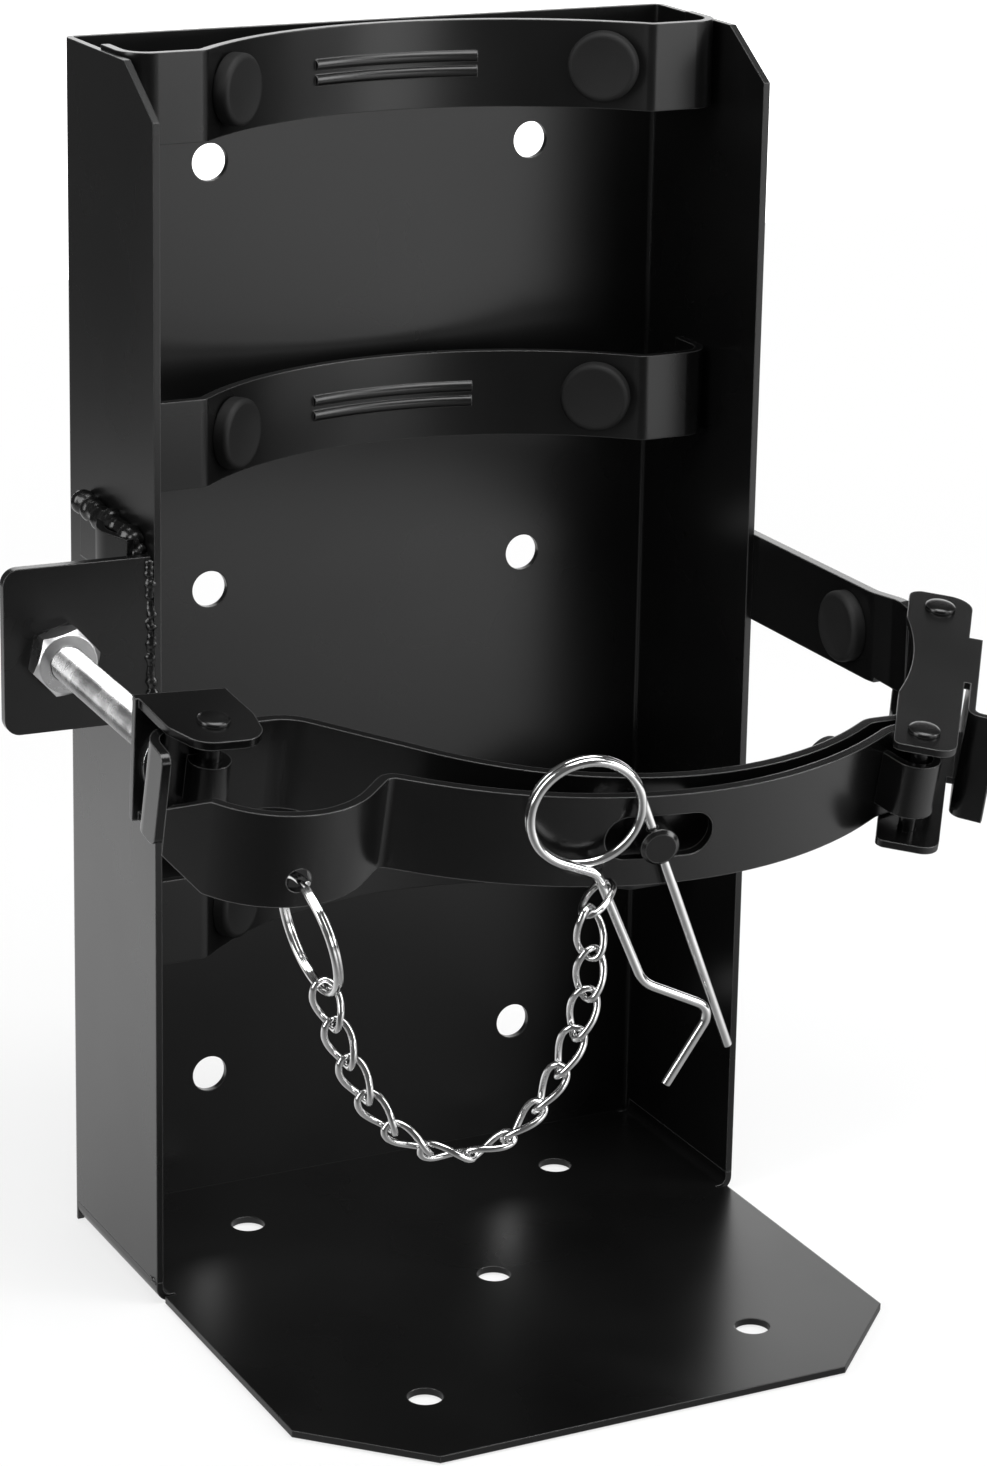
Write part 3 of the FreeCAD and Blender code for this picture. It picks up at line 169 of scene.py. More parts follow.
def grain_group():
    group, given, result = new_group("surface_grain", [
        ("Dark Color", "NodeSocketColor", (0.01, 0.01, 0.01, 1)),
        ("Light Color", "NodeSocketColor", (0.02, 0.02, 0.02, 1)),
        ("Rough Low", "NodeSocketFloat", 0.3), ("Rough High", "NodeSocketFloat", 0.4),
        ("Grain Scale", "NodeSocketFloat", 900.0), ("Cloud Scale", "NodeSocketFloat", 14.0)],
        [("Color", "NodeSocketColor"), ("Roughness", "NodeSocketFloat"),
         ("Height", "NodeSocketFloat")])
    new, link = group.nodes.new, group.links.new
    place = new("ShaderNodeTexCoord")
    fine, cloud = new("ShaderNodeTexNoise"), new("ShaderNodeTexNoise")
    fine.inputs["Detail"].default_value = 3
    cloud.inputs["Detail"].default_value = 4
    for noise, scale in ((fine, "Grain Scale"), (cloud, "Cloud Scale")):
        link(place.outputs["Object"], noise.inputs["Vector"])
        link(given[scale], noise.inputs["Scale"])
    spread = new("ShaderNodeMapRange")
    spread.inputs["From Min"].default_value = 0.35
    spread.inputs["From Max"].default_value = 0.65
    link(cloud.outputs["Fac"], spread.inputs["Value"])
    # a colour mix has its two colours at sockets 6 and 7, and its result at 2
    mix = new("ShaderNodeMix")
    mix.data_type = "RGBA"
    link(spread.outputs["Result"], mix.inputs["Factor"])
    link(given["Dark Color"], mix.inputs[6])
    link(given["Light Color"], mix.inputs[7])
    gloss = new("ShaderNodeMapRange")
    link(spread.outputs["Result"], gloss.inputs["Value"])
    link(given["Rough Low"], gloss.inputs["To Min"])
    link(given["Rough High"], gloss.inputs["To Max"])
    link(mix.outputs[2], result["Color"])
    link(gloss.outputs["Result"], result["Roughness"])
    link(fine.outputs["Fac"], result["Height"])
    return group


def edge_highlight_group():
    group, given, result = new_group("painted_edge_highlight", [
        ("Color", "NodeSocketColor", (0.01, 0.01, 0.01, 1)),
        ("Edge Highlight Color", "NodeSocketColor", (0.05, 0.05, 0.05, 1)),
        ("Radius", "NodeSocketFloat", 0.0006)],
        [("Color", "NodeSocketColor"), ("Normal", "NodeSocketVector")])
    new, link = group.nodes.new, group.links.new
    round_off, surface, agree = new("ShaderNodeBevel"), new("ShaderNodeNewGeometry"), new(
        "ShaderNodeVectorMath")
    round_off.samples = 6
    agree.operation = "DOT_PRODUCT"
    link(given["Radius"], round_off.inputs["Radius"])
    link(round_off.outputs["Normal"], agree.inputs[0])
    link(surface.outputs["Normal"], agree.inputs[1])
    # the edge mask: where the rounded normal leaves the true one, the colour turns to the painted edge
    # highlight
    edge = new("ShaderNodeMapRange")
    edge.inputs["From Min"].default_value = 0.995
    edge.inputs["From Max"].default_value = 0.80
    link(agree.outputs["Value"], edge.inputs["Value"])
    mix = new("ShaderNodeMix")
    mix.data_type = "RGBA"
    link(edge.outputs["Result"], mix.inputs["Factor"])
    link(given["Color"], mix.inputs[6])
    link(given["Edge Highlight Color"], mix.inputs[7])
    link(mix.outputs[2], result["Color"])
    link(round_off.outputs["Normal"], result["Normal"])
    return group


grain, edges = grain_group(), edge_highlight_group()
print("groups:", grain.name, "and", edges.name)

# %% [markdown]
# A finish is one Principled shader fed by the two groups. The height of the
# grain goes through a Bump node on top of the rounded edge, so a sharp sheet
# edge still gives a thin bright line, partly from the lamps on the rounded
# normal and partly from the painted edge highlight in the colour.

# %% finishes


def grey(value, tint=0.0):
    return (value, value, value + tint, 1)


def coat(name, dark, light, edge, rough, grain_size, bump, metal=0.0, edge_radius=0.5,
         cloud=14.0, shine=0.5):
    material = bpy.data.materials.new(name)
    material.use_nodes = True
    tree = material.node_tree
    shader = tree.nodes["Principled BSDF"]
    pattern = tree.nodes.new("ShaderNodeGroup")
    pattern.node_tree = grain
    pattern.inputs["Dark Color"].default_value = dark
    pattern.inputs["Light Color"].default_value = light
    pattern.inputs["Rough Low"].default_value = rough[0]
    pattern.inputs["Rough High"].default_value = rough[1]
    pattern.inputs["Grain Scale"].default_value = 1 / (grain_size * mm)
    pattern.inputs["Cloud Scale"].default_value = cloud
    rim = tree.nodes.new("ShaderNodeGroup")
    rim.node_tree = edges
    # the edge colour is a painted highlight along the sheet edges
    rim.inputs["Edge Highlight Color"].default_value = edge
    rim.inputs["Radius"].default_value = edge_radius * mm
    relief = tree.nodes.new("ShaderNodeBump")
    relief.inputs["Strength"].default_value = bump
    relief.inputs["Distance"].default_value = 0.1 * mm
    shader.inputs["Metallic"].default_value = metal
    shader.inputs["Specular IOR Level"].default_value = shine
    link = tree.links.new
    link(pattern.outputs["Color"], rim.inputs["Color"])
    link(rim.outputs["Color"], shader.inputs["Base Color"])
    link(pattern.outputs["Roughness"], shader.inputs["Roughness"])
    link(pattern.outputs["Height"], relief.inputs["Height"])
    link(rim.outputs["Normal"], relief.inputs["Normal"])
    link(relief.outputs["Normal"], shader.inputs["Normal"])
    return material


# each finish's third colour is its painted edge highlight, lighter than the coat
powder = coat("powder_coat", grey(0.0024), grey(0.0040), grey(0.060), (0.26, 0.31), 1.1, 0.05)
powder_bent = coat("powder_coat_bent", grey(0.0026), grey(0.0042), grey(0.10), (0.20, 0.27), 1.0,
                   0.05, edge_radius=0.55)
weld_coat = coat("weld_coat", grey(0.003), grey(0.006), grey(0.03), (0.14, 0.28), 0.9, 0.6,
                 cloud=180.0)
rubber = coat("matte_rubber", grey(0.0036), grey(0.0056), grey(0.009), (0.60, 0.72), 0.35, 0.35,
              edge_radius=0.8, cloud=60.0, shine=0.35)
zinc = coat("bright_zinc", grey(0.52, 0.005), grey(0.66, 0.004), grey(0.85), (0.24, 0.36), 0.4,
            0.08, metal=1.0, edge_radius=0.35, cloud=90.0)
thread_zinc = coat("thread_zinc", grey(0.52, 0.005), grey(0.66, 0.004), grey(0.75), (0.2, 0.3),
                   0.4, 0.05, metal=1.0, edge_radius=0.03, cloud=90.0)
chrome = coat("bright_nickel", grey(0.66), grey(0.78), grey(0.9), (0.10, 0.17), 0.5, 0.04,
              metal=1.0, edge_radius=0.2, cloud=120.0)
print("finishes made:", len(bpy.data.materials))

# %% put the finishes on the model's own pieces
bent = ("clamp_band", "lever_band", "lever_eye", "toggle_link", "clevis", "hinge_arm", "lock_stud",
        "clevis_pin", "link_rear_pin", "link_front_pin", "lever_pivot_pin")
plated = ("adjuster_bolt", "lock_nut", "rear_nut", "clevis_washer")
wires = ("hitch_pin", "split_ring", "safety_chain")
for name, node in nodes.items():
    if name.endswith("_pad"):
        material = rubber
    elif name in plated:
        material = zinc
    elif name in wires:
        material = chrome
    else:
        material = powder_bent if name in bent else powder
    node.data.materials.clear()
    node.data.materials.append(material)

# %% [markdown]
# The ten rubber buttons are moulded discs with a rounded rim. One disc is
# modelled as on a lathe, and copied to each place, facing the cylinder.

# %% a moulded button
button_radius = 10.25 * mm
rim_round = 1.5 * mm
dish_border = 0.5 * mm
dish_depth = 0.12 * mm


def select_where(obj, test, kind="VERT"):
    pick(obj)
    bpy.ops.object.mode_set(mode="EDIT")
    bpy.ops.mesh.select_all(action="DESELECT")
    bpy.ops.mesh.select_mode(type=kind)
    bpy.ops.object.mode_set(mode="OBJECT")
    mesh = obj.data
    if kind == "VERT":
        for vertex in mesh.vertices:
            vertex.select = test(vertex.co)
    elif kind == "EDGE":
        for edge in mesh.edges:
            edge.select = all(test(mesh.vertices[i].co) for i in edge.vertices)
    else:
        for face in mesh.polygons:
            face.select = test(face.center)
    bpy.ops.object.mode_set(mode="EDIT")


def button(name, thick):
    bpy.ops.mesh.primitive_cylinder_add(vertices=72, radius=button_radius, depth=thick)
    disc = bpy.context.object
    disc.name = name
    select_where(disc, lambda co: co.z > 0, "EDGE")
    bpy.ops.mesh.bevel(offset=rim_round, segments=6, profile=0.5)
    select_where(disc, lambda co: co.z > thick / 2 - 1e-6, "FACE")
    bpy.ops.mesh.inset(thickness=dish_border)
    bpy.ops.transform.translate(value=(0, 0, -dish_depth))
    bpy.ops.object.mode_set(mode="OBJECT")
    return smooth(disc, 40)


def seat_button(node, way, body, sink):
    facing = frame_of(Vector(), Vector((0, 0, 1)), -way)
    low, high = box_in(facing, node)
    thick = high.z - low.z - sink
    middle = Vector(((low.x + high.x) / 2, (low.y + high.y) / 2, high.z - thick / 2))
    disc = button(node + "_rubber", thick)
    carry(disc, facing @ Matrix.Translation(middle))
    finish(disc, body, "rubber", rubber, node)


# %% the ten buttons in place
curve_sink = 0.55 * mm
cradle_middle_y = -19.6 * mm
clamp_height = 217.3 * mm
band_shift = Vector((5, 9, 0)) * mm
band_axis = clamp.inverted() @ Vector((0, cradle_middle_y, clamp_height)) - band_shift
for node in sorted(nodes):
    if not node.endswith("_pad"):
        continue
    low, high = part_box(node)
    middle = (low + high) / 2
    if node == "arm_pad":
        seat_button(node, Vector((1, 0, 0)), "frame", 0)
    elif node.endswith("band_pad"):
        outward = clamp.inverted() @ middle - band_axis
        outward.z = 0
        seat_button(node, clamp.to_3x3() @ outward.normalized(), "clamp", curve_sink)
    else:
        outward = Vector((middle.x, middle.y - cradle_middle_y, 0)).normalized()
        seat_button(node, outward, "frame", curve_sink)

# %% [markdown]
# Pins and bolts are turned parts, so they are raised ring by ring from a
# disc, as on a lathe: each step extrudes the end face and scales it.

# %% a turned part


def turned(name, rings, sides=64):
    radius, level = rings[0]
    bpy.ops.mesh.primitive_circle_add(vertices=sides, radius=radius, fill_type="NGON",
                                      location=(0, 0, level))
    part = bpy.context.object
    part.name = name
    bpy.ops.object.mode_set(mode="EDIT")
    bpy.ops.mesh.select_all(action="SELECT")
    for next_radius, next_level in rings[1:]:
        bpy.ops.mesh.extrude_region_move(
            TRANSFORM_OT_translate={"value": (0, 0, next_level - level)})
        grow = next_radius / radius
        bpy.ops.transform.resize(value=(grow, grow, 1), center_override=(0, 0, next_level))
        radius, level = next_radius, next_level
    bpy.ops.mesh.select_all(action="SELECT")
    bpy.ops.mesh.normals_make_consistent(inside=False)
    bpy.ops.object.mode_set(mode="OBJECT")
    bpy.ops.object.transform_apply(location=True, rotation=True, scale=True)
    return smooth(part, 30)


def domed_head(radius, base, high, up):
    # a riveted head: straight rim, rounded shoulder, nearly flat crown
    steps = [(1.0, 0.0), (1.0, 0.35), (0.97, 0.6), (0.88, 0.82), (0.72, 0.93), (0.4, 1.0)]
    rings = [(radius * share, base + up * high * rise) for share, rise in steps]
    return rings if up > 0 else rings[::-1]


rivet_high = 1.4 * mm


def riveted_pin(node, body, shank_radius):
    low, high = box_in(clamp, node)
    rivet_radius = (high.x - low.x) / 2
    rings = domed_head(rivet_radius, low.z + rivet_high, rivet_high, -1)
    rings += [(shank_radius, low.z + rivet_high), (shank_radius, high.z - rivet_high)]
    rings += domed_head(rivet_radius, high.z - rivet_high, rivet_high, 1)
    pin = turned(node + "_turned", rings)
    middle = Vector(((low.x + high.x) / 2, (low.y + high.y) / 2, 0))
    carry(pin, clamp @ Matrix.Translation(middle))
    finish(pin, body, "black_coat", powder_bent, node)


riveted_pin("clevis_pin", "frame", 3.0 * mm)
riveted_pin("link_rear_pin", "link", 3.2 * mm)
riveted_pin("link_front_pin", "link", 2.3 * mm)

# %% [markdown]
# The adjusting screw is a metric bolt. Its core is turned, and its thread is
# one small diamond carried up a helix by the Screw modifier, deep enough in
# the core that only the crests show.

# %% the adjusting screw
thread_pitch = 1.5 * mm
thread_radius = 5.0 * mm
thread_deep = 0.6 * thread_pitch
root_radius = thread_radius - thread_deep
ridge_half = 0.52 * thread_pitch
chamfer = 0.8 * mm
head_radius = 7.25 * mm
head_high = 2.6 * mm
rear, front = (sum(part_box(node), Vector()) / 2 for node in ("rear_nut", "clevis_washer"))
screw = frame_of(rear, Vector((0, 0, 1)), front - rear)
bolt_low, bolt_high = box_in(screw, "adjuster_bolt")
head_base = bolt_high.z - head_high
core = turned("adjuster_screw", [
    (root_radius - chamfer, bolt_low.z), (root_radius, bolt_low.z + chamfer),
    (root_radius, head_base), (head_radius * 0.96, head_base),
    (head_radius, head_base + 0.3 * mm), (head_radius, bolt_high.z - 0.6 * mm),
    (head_radius * 0.93, bolt_high.z)], sides=48)

turns = int((head_base - bolt_low.z - 3 * thread_pitch) / thread_pitch)
bpy.ops.mesh.primitive_circle_add(vertices=4, radius=ridge_half,
                                  rotation=(math.pi / 2, 0, 0),
                                  location=(root_radius, 0, bolt_low.z + thread_pitch))
ridge = bpy.context.object
ridge.scale.x = thread_deep / ridge_half
carry(ridge, Matrix())
helix = ridge.modifiers.new("helix", "SCREW")
helix.axis = "Z"
helix.screw_offset = thread_pitch
helix.iterations = turns
helix.steps = helix.render_steps = 28
bpy.ops.object.modifier_apply(modifier="helix")
bpy.ops.object.mode_set(mode="EDIT")
bpy.ops.mesh.select_all(action="SELECT")
bpy.ops.mesh.fill_holes(sides=4)
bpy.ops.mesh.normals_make_consistent(inside=False)
bpy.ops.object.mode_set(mode="OBJECT")
adjuster = joined("adjuster_screw", [core, ridge])
carry(adjuster, screw)
finish(smooth(adjuster, 28), "frame", "zinc_plate", thread_zinc, "adjuster_bolt")
print("thread turns:", turns)

# %% [markdown]
# Ring, hairpin and chain are all round wire bent to a line. A curve with a
# round bevel is the simplest way to bend wire, and it is made a mesh before
# it is carried to its place.

# %% bent wire


def bent_wire(name, points, thick, closed=False, sides=10):
    data = bpy.data.curves.new(name, "CURVE")
    data.dimensions = "3D"
    data.bevel_depth = thick / 2
    data.bevel_resolution = sides // 2 - 2
    data.use_fill_caps = True
    line = data.splines.new("POLY")
    line.points.add(len(points) - 1)
    for point, spot in zip(line.points, points):
        point.co = (*spot, 1)
    line.use_cyclic_u = closed
    wire = bpy.data.objects.new(name, data)
    bpy.context.scene.collection.objects.link(wire)
    pick(wire)
    bpy.ops.object.convert(target="MESH")
    return smooth(bpy.context.view_layer.objects.active, 50)


def spun(centre, radius, start, end, steps, rise=0.0):
    # points round a circle from one angle to another, climbing by rise
    spots = []
    for i in range(steps + 1):
        share = i / steps
        turn = math.radians(start + (end - start) * share)
        spots.append(Vector((centre.x + radius * math.cos(turn),
                             centre.y + radius * math.sin(turn), centre.z + rise * share)))
    return spots


def rounded_line(corners, steps=8):
    # a line through corners, each given with its bend radius
    spots = [corners[0][0]]
    for (before, _), (at, bend), (after, _) in zip(corners, corners[1:], corners[2:]):
        way_in, way_out = (at - before).normalized(), (after - at).normalized()
        half_turn = way_in.angle(way_out) / 2
        reach = bend * math.tan(half_turn)
        centre = at + (way_out - way_in).normalized() * (bend / math.cos(half_turn))
        first, last = at - way_in * reach - centre, at + way_out * reach - centre
        for i in range(steps + 1):
            spots.append(centre + first.slerp(last, i / steps) * bend)
    spots.append(corners[-1][0])
    return spots


# %% [markdown]
# The split ring is two turns of wire lying against each other. It is bent in
# the plane that the model's own ring lies in.

# %% the split ring


def main_axes(points):
    # centre, and the long, middle and short directions of a set of points
    centre = points.mean(axis=0)
    _, ways = np.linalg.eigh(np.cov((points - centre).T))
    return Vector(centre), [Vector(ways[:, i]) for i in (2, 1, 0)]


ring_wire = 1.75 * mm
ring_points = np.array([vertex.co[:] for vertex in nodes["split_ring"].data.vertices])
ring_middle, (ring_long, ring_wide, ring_short) = main_axes(ring_points)
ring_place = frame_of(ring_middle, Vector((0, 0, -1)), ring_short)
ring_low, ring_high = box_in(ring_place, "split_ring")
model_wire = 1.8 * mm
ring_radius = (ring_high.x - ring_low.x - model_wire) / 2
ring_start, ring_turn = 200, 715
coils = spun(Vector((0, 0, -ring_wire / 2)), ring_radius, ring_start, ring_start + ring_turn, 150,
             ring_wire)
split_ring = bent_wire("split_ring_wire", coils, ring_wire)
carry(split_ring, ring_place)
finish(split_ring, "lever", "zinc_plate", chrome, "split_ring")

# %% [markdown]
# The hairpin is one wire: a straight leg, a coil of a turn and a half and a
# spring leg with a bulge that snaps over the straight leg's end. Its sizes
# are measured from the hole in the stud.

# %% the hairpin
pin_wire = 2.5 * mm
leg_slope = math.radians(25)
leg_way = Vector((math.sin(leg_slope), -math.cos(leg_slope), 0))
coil_radius = 14.5 * mm
leg_above, leg_below = 17.5 * mm, 66.0 * mm
leg_top = leg_way * -leg_above
leg_end = leg_way * leg_below
coil_middle = leg_top - Vector((math.cos(leg_slope), math.sin(leg_slope), 0)) * coil_radius
root_turn = 253.0
coil_climb = 2.4 * mm
coil_start = math.degrees(leg_slope)
coil = spun(coil_middle, coil_radius, coil_start, root_turn + 360, 120, coil_climb)
root = coil[-1]
root_way = Vector((-math.sin(math.radians(root_turn)), math.cos(math.radians(root_turn)), 0))
root_run, root_bend = 9.5 * mm, 4.0 * mm
knee, knee_bend = Vector((0.3 * mm, -38.0 * mm, coil_climb)), 9.0 * mm
bulge, bulge_bend = Vector((20.4 * mm, -46.0 * mm, coil_climb)), 4.5 * mm
tip = Vector((10.5 * mm, -67.5 * mm, coil_climb))
spring = rounded_line([(root, 0), (root + root_way * root_run, root_bend), (knee, knee_bend),
                       (bulge, bulge_bend), (tip, 0)])
lean = Matrix.Rotation(math.radians(-2.8), 4, "X")
spring = [root + lean.to_3x3() @ (spot - root) for spot in spring]
hairpin = bent_wire("hairpin_wire", [leg_end] + coil + spring[1:], pin_wire, sides=14)
carry(hairpin, stud)
finish(hairpin, "hairpin", "zinc_plate", chrome, "hitch_pin")

# %% [markdown]
# The chain's links are ovals twisted by a quarter turn, so that the chain
# lies flat. One link is bent, and a copy goes to each place where the model
# has a link. A merged copy of the model's chain, split into loose parts,
# gives those places.

# %% where the links hang
pick(nodes["safety_chain"])
bpy.ops.object.duplicate()
spare = bpy.context.object
bpy.ops.object.mode_set(mode="EDIT")
bpy.ops.mesh.select_all(action="SELECT")
bpy.ops.mesh.remove_doubles(threshold=0.002 * mm)
bpy.ops.mesh.separate(type="LOOSE")
bpy.ops.object.mode_set(mode="OBJECT")
link_places = []
for loose in list(bpy.context.selected_objects):
    spots = np.array([vertex.co[:] for vertex in loose.data.vertices])
    link_places.append(main_axes(spots))
bpy.ops.object.delete()
print("links found:", len(link_places))

# %% one twisted link
link_wire = 1.8 * mm
link_long = 13.6 * mm / 2
link_wide = 6.9 * mm / 2
link_twist = math.radians(45)
link_fullness = 0.8


def link_line(steps=44):
    spots = []
    for i in range(steps):
        turn = 2 * math.pi * i / steps
        along = link_long * math.cos(turn)
        side = link_wide * math.copysign(abs(math.sin(turn)) ** link_fullness, math.sin(turn))
        turned_by = link_twist * along / link_long
        spots.append(Vector((side * math.cos(turned_by), side * math.sin(turned_by), along)))
    return spots


flat_line = [Vector((spot.xy.length * math.copysign(1, spot.x), 0, spot.z)) for spot in link_line()]
master = bent_wire("chain_link", link_line(), link_wire, closed=True)
flat_master = bent_wire("flat_link", flat_line, link_wire, closed=True)
print("faces in one link:", len(master.data.polygons))

# %% [markdown]
# The links all turn the same way, a little more from each to the next, and
# fastest near the hairpin, where the picture shows them edge on. The last
# one hooks onto the hairpin and stays flat.

# %% the links in order, from the ring to the hairpin
late_turning = 2.5
start = min(spot.co.z for spot in nodes["split_ring"].data.vertices)
order = []
here = Vector((ring_middle.x, ring_middle.y, start))
left_over = list(link_places)
while left_over:
    nearest = min(left_over, key=lambda item: (item[0] - here).length)
    left_over.remove(nearest)
    order.append(nearest)
    here = nearest[0]


def across(vector, way):
    return (vector - way * vector.dot(way)).normalized()


ways = []
for i, (_, axes) in enumerate(order):
    ahead = order[min(i + 1, len(order) - 1)][0] - order[max(i - 1, 0)][0]
    way = axes[0] if axes[0].dot(ahead) > 0 else -axes[0]
    ways.append(way)
hook_bar = order[-1][1][2].cross(ways[-1])
second = ways[-2]
top_normal = across(hook_bar, second)
top_normal.rotate(Matrix.Rotation(-link_twist, 3, second))
back_way = Vector((0, 1, 0))
level = across(back_way, second)
top_angle = math.degrees(math.atan2(second.dot(level.cross(top_normal)), level.dot(top_normal)))
first_angle = math.degrees(link_twist)
while top_angle < first_angle + 90:
    top_angle += 180
print("links face", round(first_angle), "to", round(top_angle), "degrees from the wall")

links = []
for i, (middle, axes) in enumerate(order):
    way = ways[i]
    if i == len(order) - 1:
        source, normal = flat_master, axes[2]
    else:
        share = (i / (len(order) - 2)) ** late_turning
        source, normal = master, across(back_way, way)
        swing = math.radians(first_angle + (top_angle - first_angle) * share)
        normal.rotate(Matrix.Rotation(swing, 3, way))
    copy = source.copy()
    copy.data = source.data.copy()
    bpy.context.scene.collection.objects.link(copy)
    carry(copy, frame_of(middle, normal.cross(way), way))
    links.append(copy)
pick(master, flat_master)
bpy.ops.object.delete()
finish(joined("twisted_chain", links), "lever", "zinc_plate", chrome, "safety_chain")

# %% [markdown]
# Weld beads are rows of overlapping ripples. Each ripple is a flattened ball,
# a little different from the last, and a voxel remesh melts the row into one
# bead before it is coated like the rest.

# %% weld beads
ripple_step = 0.42
ripple_shift = 0.12


def bead(name, start, end, wide):
    span = end - start
    count = max(3, int(span.length / (wide * ripple_step)))
    ripples = []
    for i in range(count + 1):
        size = wide / 2 * random.uniform(0.82, 1.12)
        bpy.ops.mesh.primitive_uv_sphere_add(segments=20, ring_count=12, radius=size)
        ripple = bpy.context.object
        ripple.scale = (1, 1, random.uniform(0.6, 0.8))
        jitter = Vector([random.uniform(-ripple_shift, ripple_shift) * wide for _ in range(3)])
        place = frame_of(start + span * (i / count) + jitter, Vector((0.3, 1, 0.2)), span)
        carry(ripple, place)
        ripples.append(ripple)
    row = joined(name, ripples)
    melt = row.modifiers.new("melt", "REMESH")
    melt.mode = "VOXEL"
    melt.voxel_size = wide / 9
    bpy.ops.object.modifier_apply(modifier="melt")
    soften = row.modifiers.new("soften", "SMOOTH")
    soften.factor = 0.5
    soften.iterations = 2
    bpy.ops.object.modifier_apply(modifier="soften")
    finish(smooth(row, 60), "frame", "black_coat", weld_coat)


ear_low, ear_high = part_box("adjuster_ear")
gusset_low, gusset_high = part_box("ear_gusset")
shell_low, shell_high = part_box("back_channel")
flange_front = shell_low.y + 1.0 * mm
seam_x = shell_low.x - 0.5 * mm
bead("ear_weld", Vector((seam_x, ear_low.y + 0.6 * mm, ear_low.z + 1.5 * mm)),
     Vector((seam_x, ear_low.y + 0.6 * mm, ear_high.z - 1.0 * mm)), 4.0 * mm)
bead("gusset_top_weld", Vector((seam_x - 1.2 * mm, gusset_high.y - 1.5 * mm, gusset_high.z + 0.5 * mm)),
     Vector((seam_x - 2.2 * mm, gusset_low.y + 2.0 * mm, ear_high.z + 2.5 * mm)), 7.0 * mm)
bead("gusset_rear_weld", Vector((seam_x, gusset_high.y - 1.0 * mm, gusset_low.z + 3 * mm)),
     Vector((seam_x, gusset_high.y - 1.0 * mm, gusset_high.z - 1.0 * mm)), 3.0 * mm)
bead("gusset_front_weld", Vector((seam_x - 3 * mm, gusset_low.y + 1.2 * mm, gusset_high.z - 5 * mm)),
     Vector((seam_x - 0.5 * mm, gusset_low.y + 0.2 * mm, ear_high.z + 0.8 * mm)), 3.2 * mm)
foot_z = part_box("base_plate")[1].z
for side, name in ((-1, "left"), (1, "right")):
    foot_x = side * (shell_high.x - 0.6 * mm)
    bead(name + "_foot_weld", Vector((foot_x, flange_front, foot_z - 0.5 * mm)),
         Vector((foot_x, flange_front + 3.5 * mm, foot_z + 0.2 * mm)), 2.0 * mm)

# %% [markdown]
# The object stands on a pale floor in front of nothing but white. The floor
# is mostly plain white to the camera and keeps a soft shadow. To glossy rays
# alone the floor glows: dim, with round bright patches behind and beside the
# object, so the black coat shows painted reflections of them as its sheens.
# The white wall behind on the right is what gives the base its sheen.

# %% floor, world and wall


def reflection_patches(tree, place, dim, patches):
    # a glow strength, seen only in reflections, that is dim everywhere but in round patches on the
    # floor: painted reflections
    total = None
    for middle, reach, strength in patches:
        away, glow = tree.nodes.new("ShaderNodeVectorMath"), tree.nodes.new("ShaderNodeMapRange")
        away.operation = "DISTANCE"
        away.inputs[1].default_value = middle
        glow.interpolation_type = "SMOOTHSTEP"
        glow.inputs["From Max"].default_value = reach
        glow.inputs["To Min"].default_value = strength
        glow.inputs["To Max"].default_value = 0
        tree.links.new(place, away.inputs[0])
        tree.links.new(away.outputs["Value"], glow.inputs["Value"])
        both = tree.nodes.new("ShaderNodeMath")
        both.inputs[1].default_value = dim
        tree.links.new(glow.outputs["Result"], both.inputs[0])
        if total is not None:
            tree.links.new(total, both.inputs[1])
        total = both.outputs["Value"]
    return total


floor_drop = 0.6 * mm
bpy.ops.mesh.primitive_plane_add(size=14, location=(0, 0, -floor_drop))
floor = bpy.context.object
floor.name = "floor"
floor_paint = bpy.data.materials.new("floor_paint")
floor_paint.use_nodes = True
tree = floor_paint.node_tree
paint = tree.nodes["Principled BSDF"]
paint.inputs["Base Color"].default_value = grey(0.86)
paint.inputs["Roughness"].default_value = 0.9
paint.inputs["Specular IOR Level"].default_value = 0.1
glow, seen, share, blend = (tree.nodes.new(kind) for kind in (
    "ShaderNodeEmission", "ShaderNodeLightPath", "ShaderNodeMath", "ShaderNodeMixShader"))
place, away, fade = (tree.nodes.new(kind) for kind in (
    "ShaderNodeTexCoord", "ShaderNodeVectorMath", "ShaderNodeMapRange"))
away.operation = "LENGTH"
shadow_reach, white_from, white_share = 0.35, 1.0, 0.74
fade.inputs["From Min"].default_value = shadow_reach
fade.inputs["From Max"].default_value = white_from
fade.inputs["To Min"].default_value = white_share
tree.links.new(place.outputs["Object"], away.inputs[0])
tree.links.new(away.outputs["Value"], fade.inputs["Value"])
share.operation = "MULTIPLY"
tree.links.new(seen.outputs["Is Camera Ray"], share.inputs[0])
tree.links.new(fade.outputs["Result"], share.inputs[1])
tree.links.new(share.outputs["Value"], blend.inputs["Fac"])
tree.links.new(paint.outputs["BSDF"], blend.inputs[1])
tree.links.new(glow.outputs["Emission"], blend.inputs[2])
# to glossy rays the floor glows in patches: painted reflections for the black coat's sheens
reflection_glow, reflection_mix = tree.nodes.new("ShaderNodeEmission"), tree.nodes.new("ShaderNodeMixShader")
tree.links.new(reflection_patches(tree, place.outputs["Object"], 0.10, [
    ((-0.28, 0.35, 0), 0.75, 1.15), ((0.9, 1.0, 0), 1.3, 1.1), ((0.5, -0.55, 0), 0.75, 1.6),
    ((0.65, -1.15, 0), 0.65, 1.5), ((1.0, -0.1, 0), 0.6, 1.0)]), reflection_glow.inputs["Strength"])
tree.links.new(seen.outputs["Is Glossy Ray"], reflection_mix.inputs["Fac"])
tree.links.new(blend.outputs["Shader"], reflection_mix.inputs[1])
tree.links.new(reflection_glow.outputs["Emission"], reflection_mix.inputs[2])
tree.links.new(reflection_mix.outputs["Shader"], tree.nodes["Material Output"].inputs["Surface"])
floor.data.materials.append(floor_paint)

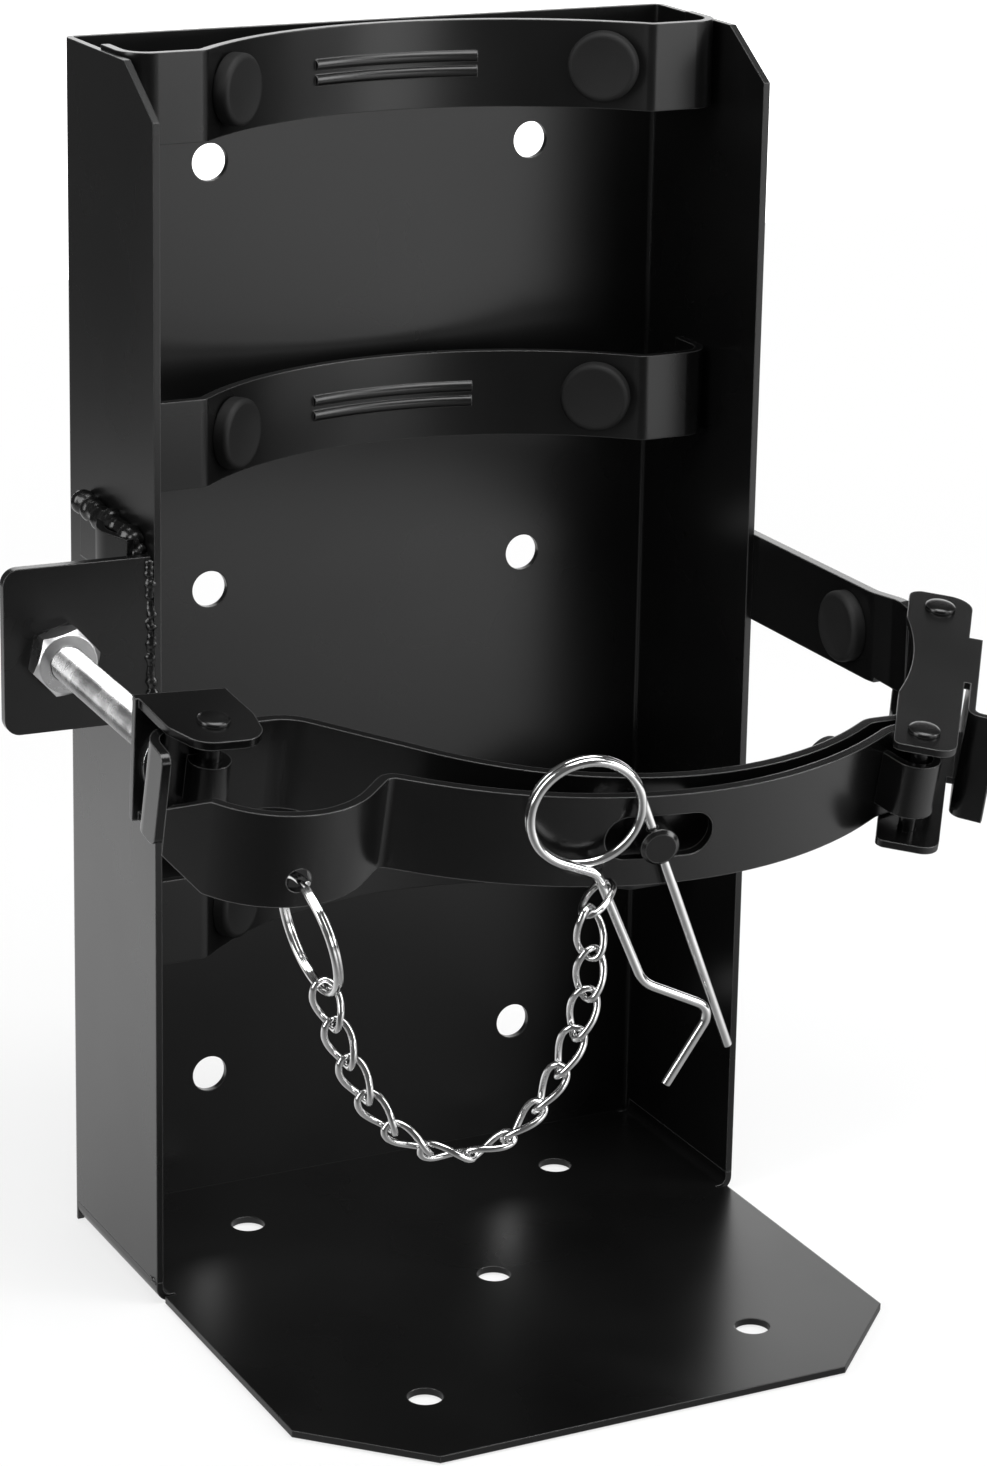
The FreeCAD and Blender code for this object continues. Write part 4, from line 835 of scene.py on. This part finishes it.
studio = bpy.data.worlds.new("studio")
bpy.context.scene.world = studio
studio.use_nodes = True
tree = studio.node_tree
room = tree.nodes["Background"]
room.inputs["Color"].default_value = (1, 1, 1, 1)
room.inputs["Strength"].default_value = 0.10
white, seen, pick_white = (tree.nodes.new(kind) for kind in (
    "ShaderNodeBackground", "ShaderNodeLightPath", "ShaderNodeMixShader"))
white.inputs["Color"].default_value = (1, 1, 1, 1)
white.inputs["Strength"].default_value = 1.0
tree.links.new(seen.outputs["Is Camera Ray"], pick_white.inputs["Fac"])
tree.links.new(room.outputs["Background"], pick_white.inputs[1])
tree.links.new(white.outputs["Background"], pick_white.inputs[2])
tree.links.new(pick_white.outputs["Shader"], tree.nodes["World Output"].inputs["Surface"])

bpy.ops.mesh.primitive_plane_add(size=1, location=(1.15, 1.35, 0.45), rotation=(math.pi / 2, 0, 0))
wall = bpy.context.object
wall.name = "white_wall"
wall.scale = (2.3, 0.95, 1)
wall_light = 2.0
wall_paint = bpy.data.materials.new("wall_paint")
wall_paint.use_nodes = True
tree = wall_paint.node_tree
glow = tree.nodes.new("ShaderNodeEmission")
glow.inputs["Strength"].default_value = wall_light
tree.links.new(glow.outputs["Emission"], tree.nodes["Material Output"].inputs["Surface"])
wall.data.materials.append(wall_paint)
print("floor, world and wall ready")

# %% [markdown]
# Black coat shows little but the lamps that it mirrors, so the lamps are
# large and soft: one overhead, one to the left for the flange and one to the
# right that runs along the clamp.

# %% lamps


def lamp(name, spot, aim, width, height, power):
    data = bpy.data.lights.new(name, "AREA")
    data.shape = "RECTANGLE"
    data.size, data.size_y = width, height
    data.energy = power
    light = bpy.data.objects.new(name, data)
    bpy.context.scene.collection.objects.link(light)
    light.location = spot
    light.rotation_euler = (Vector(aim) - Vector(spot)).to_track_quat("-Z", "Y").to_euler()


lamp("overhead", (0.1, -0.35, 1.5), (0, 0, 0.15), 1.2, 0.9, 21)
lamp("left_panel", (-1.4, -0.2, 0.7), (-0.1, 0, 0.18), 0.7, 1.3, 15)
lamp("right_panel", (1.3, -0.9, 0.9), (0.05, -0.05, 0.2), 0.6, 1.2, 16)
lamp("front_panel", (0.8, -1.7, 0.35), (0, 0, 0.15), 0.9, 0.5, 5)

# %% [markdown]
# The camera stands where the photographer stood, a little above and to the
# left. Its long lens and small shifts keep the framing of the picture.

# %% camera
picture_wide, picture_high = 987, 1466
focal_pixels = 4215
middle_x, middle_y = 518, 523
turn_left, look_down, lean_right = (math.radians(a) for a in (-27.18, 15.33, 1.15))
lens = bpy.data.cameras.new("camera")
lens.sensor_fit = "VERTICAL"
lens.sensor_height = 36
lens.lens = focal_pixels / picture_high * lens.sensor_height
lens.shift_x = (picture_wide / 2 - middle_x) / picture_high
lens.shift_y = (middle_y - picture_high / 2) / picture_high
lens.clip_start, lens.clip_end = 0.05, 60
camera = bpy.data.objects.new("camera", lens)
bpy.context.scene.collection.objects.link(camera)
camera.matrix_world = (
    Matrix.Translation((-0.5138, -1.0063, 0.5393)) @ Matrix.Rotation(turn_left, 4, "Z")
    @ Matrix.Rotation(math.pi / 2 - look_down, 4, "X") @ Matrix.Rotation(lean_right, 4, "Z"))
bpy.context.scene.camera = camera
bpy.context.scene.view_settings.view_transform = "Standard"
print("lens", round(lens.lens, 1), "mm")

# %% update the scene
bpy.context.view_layer.update()
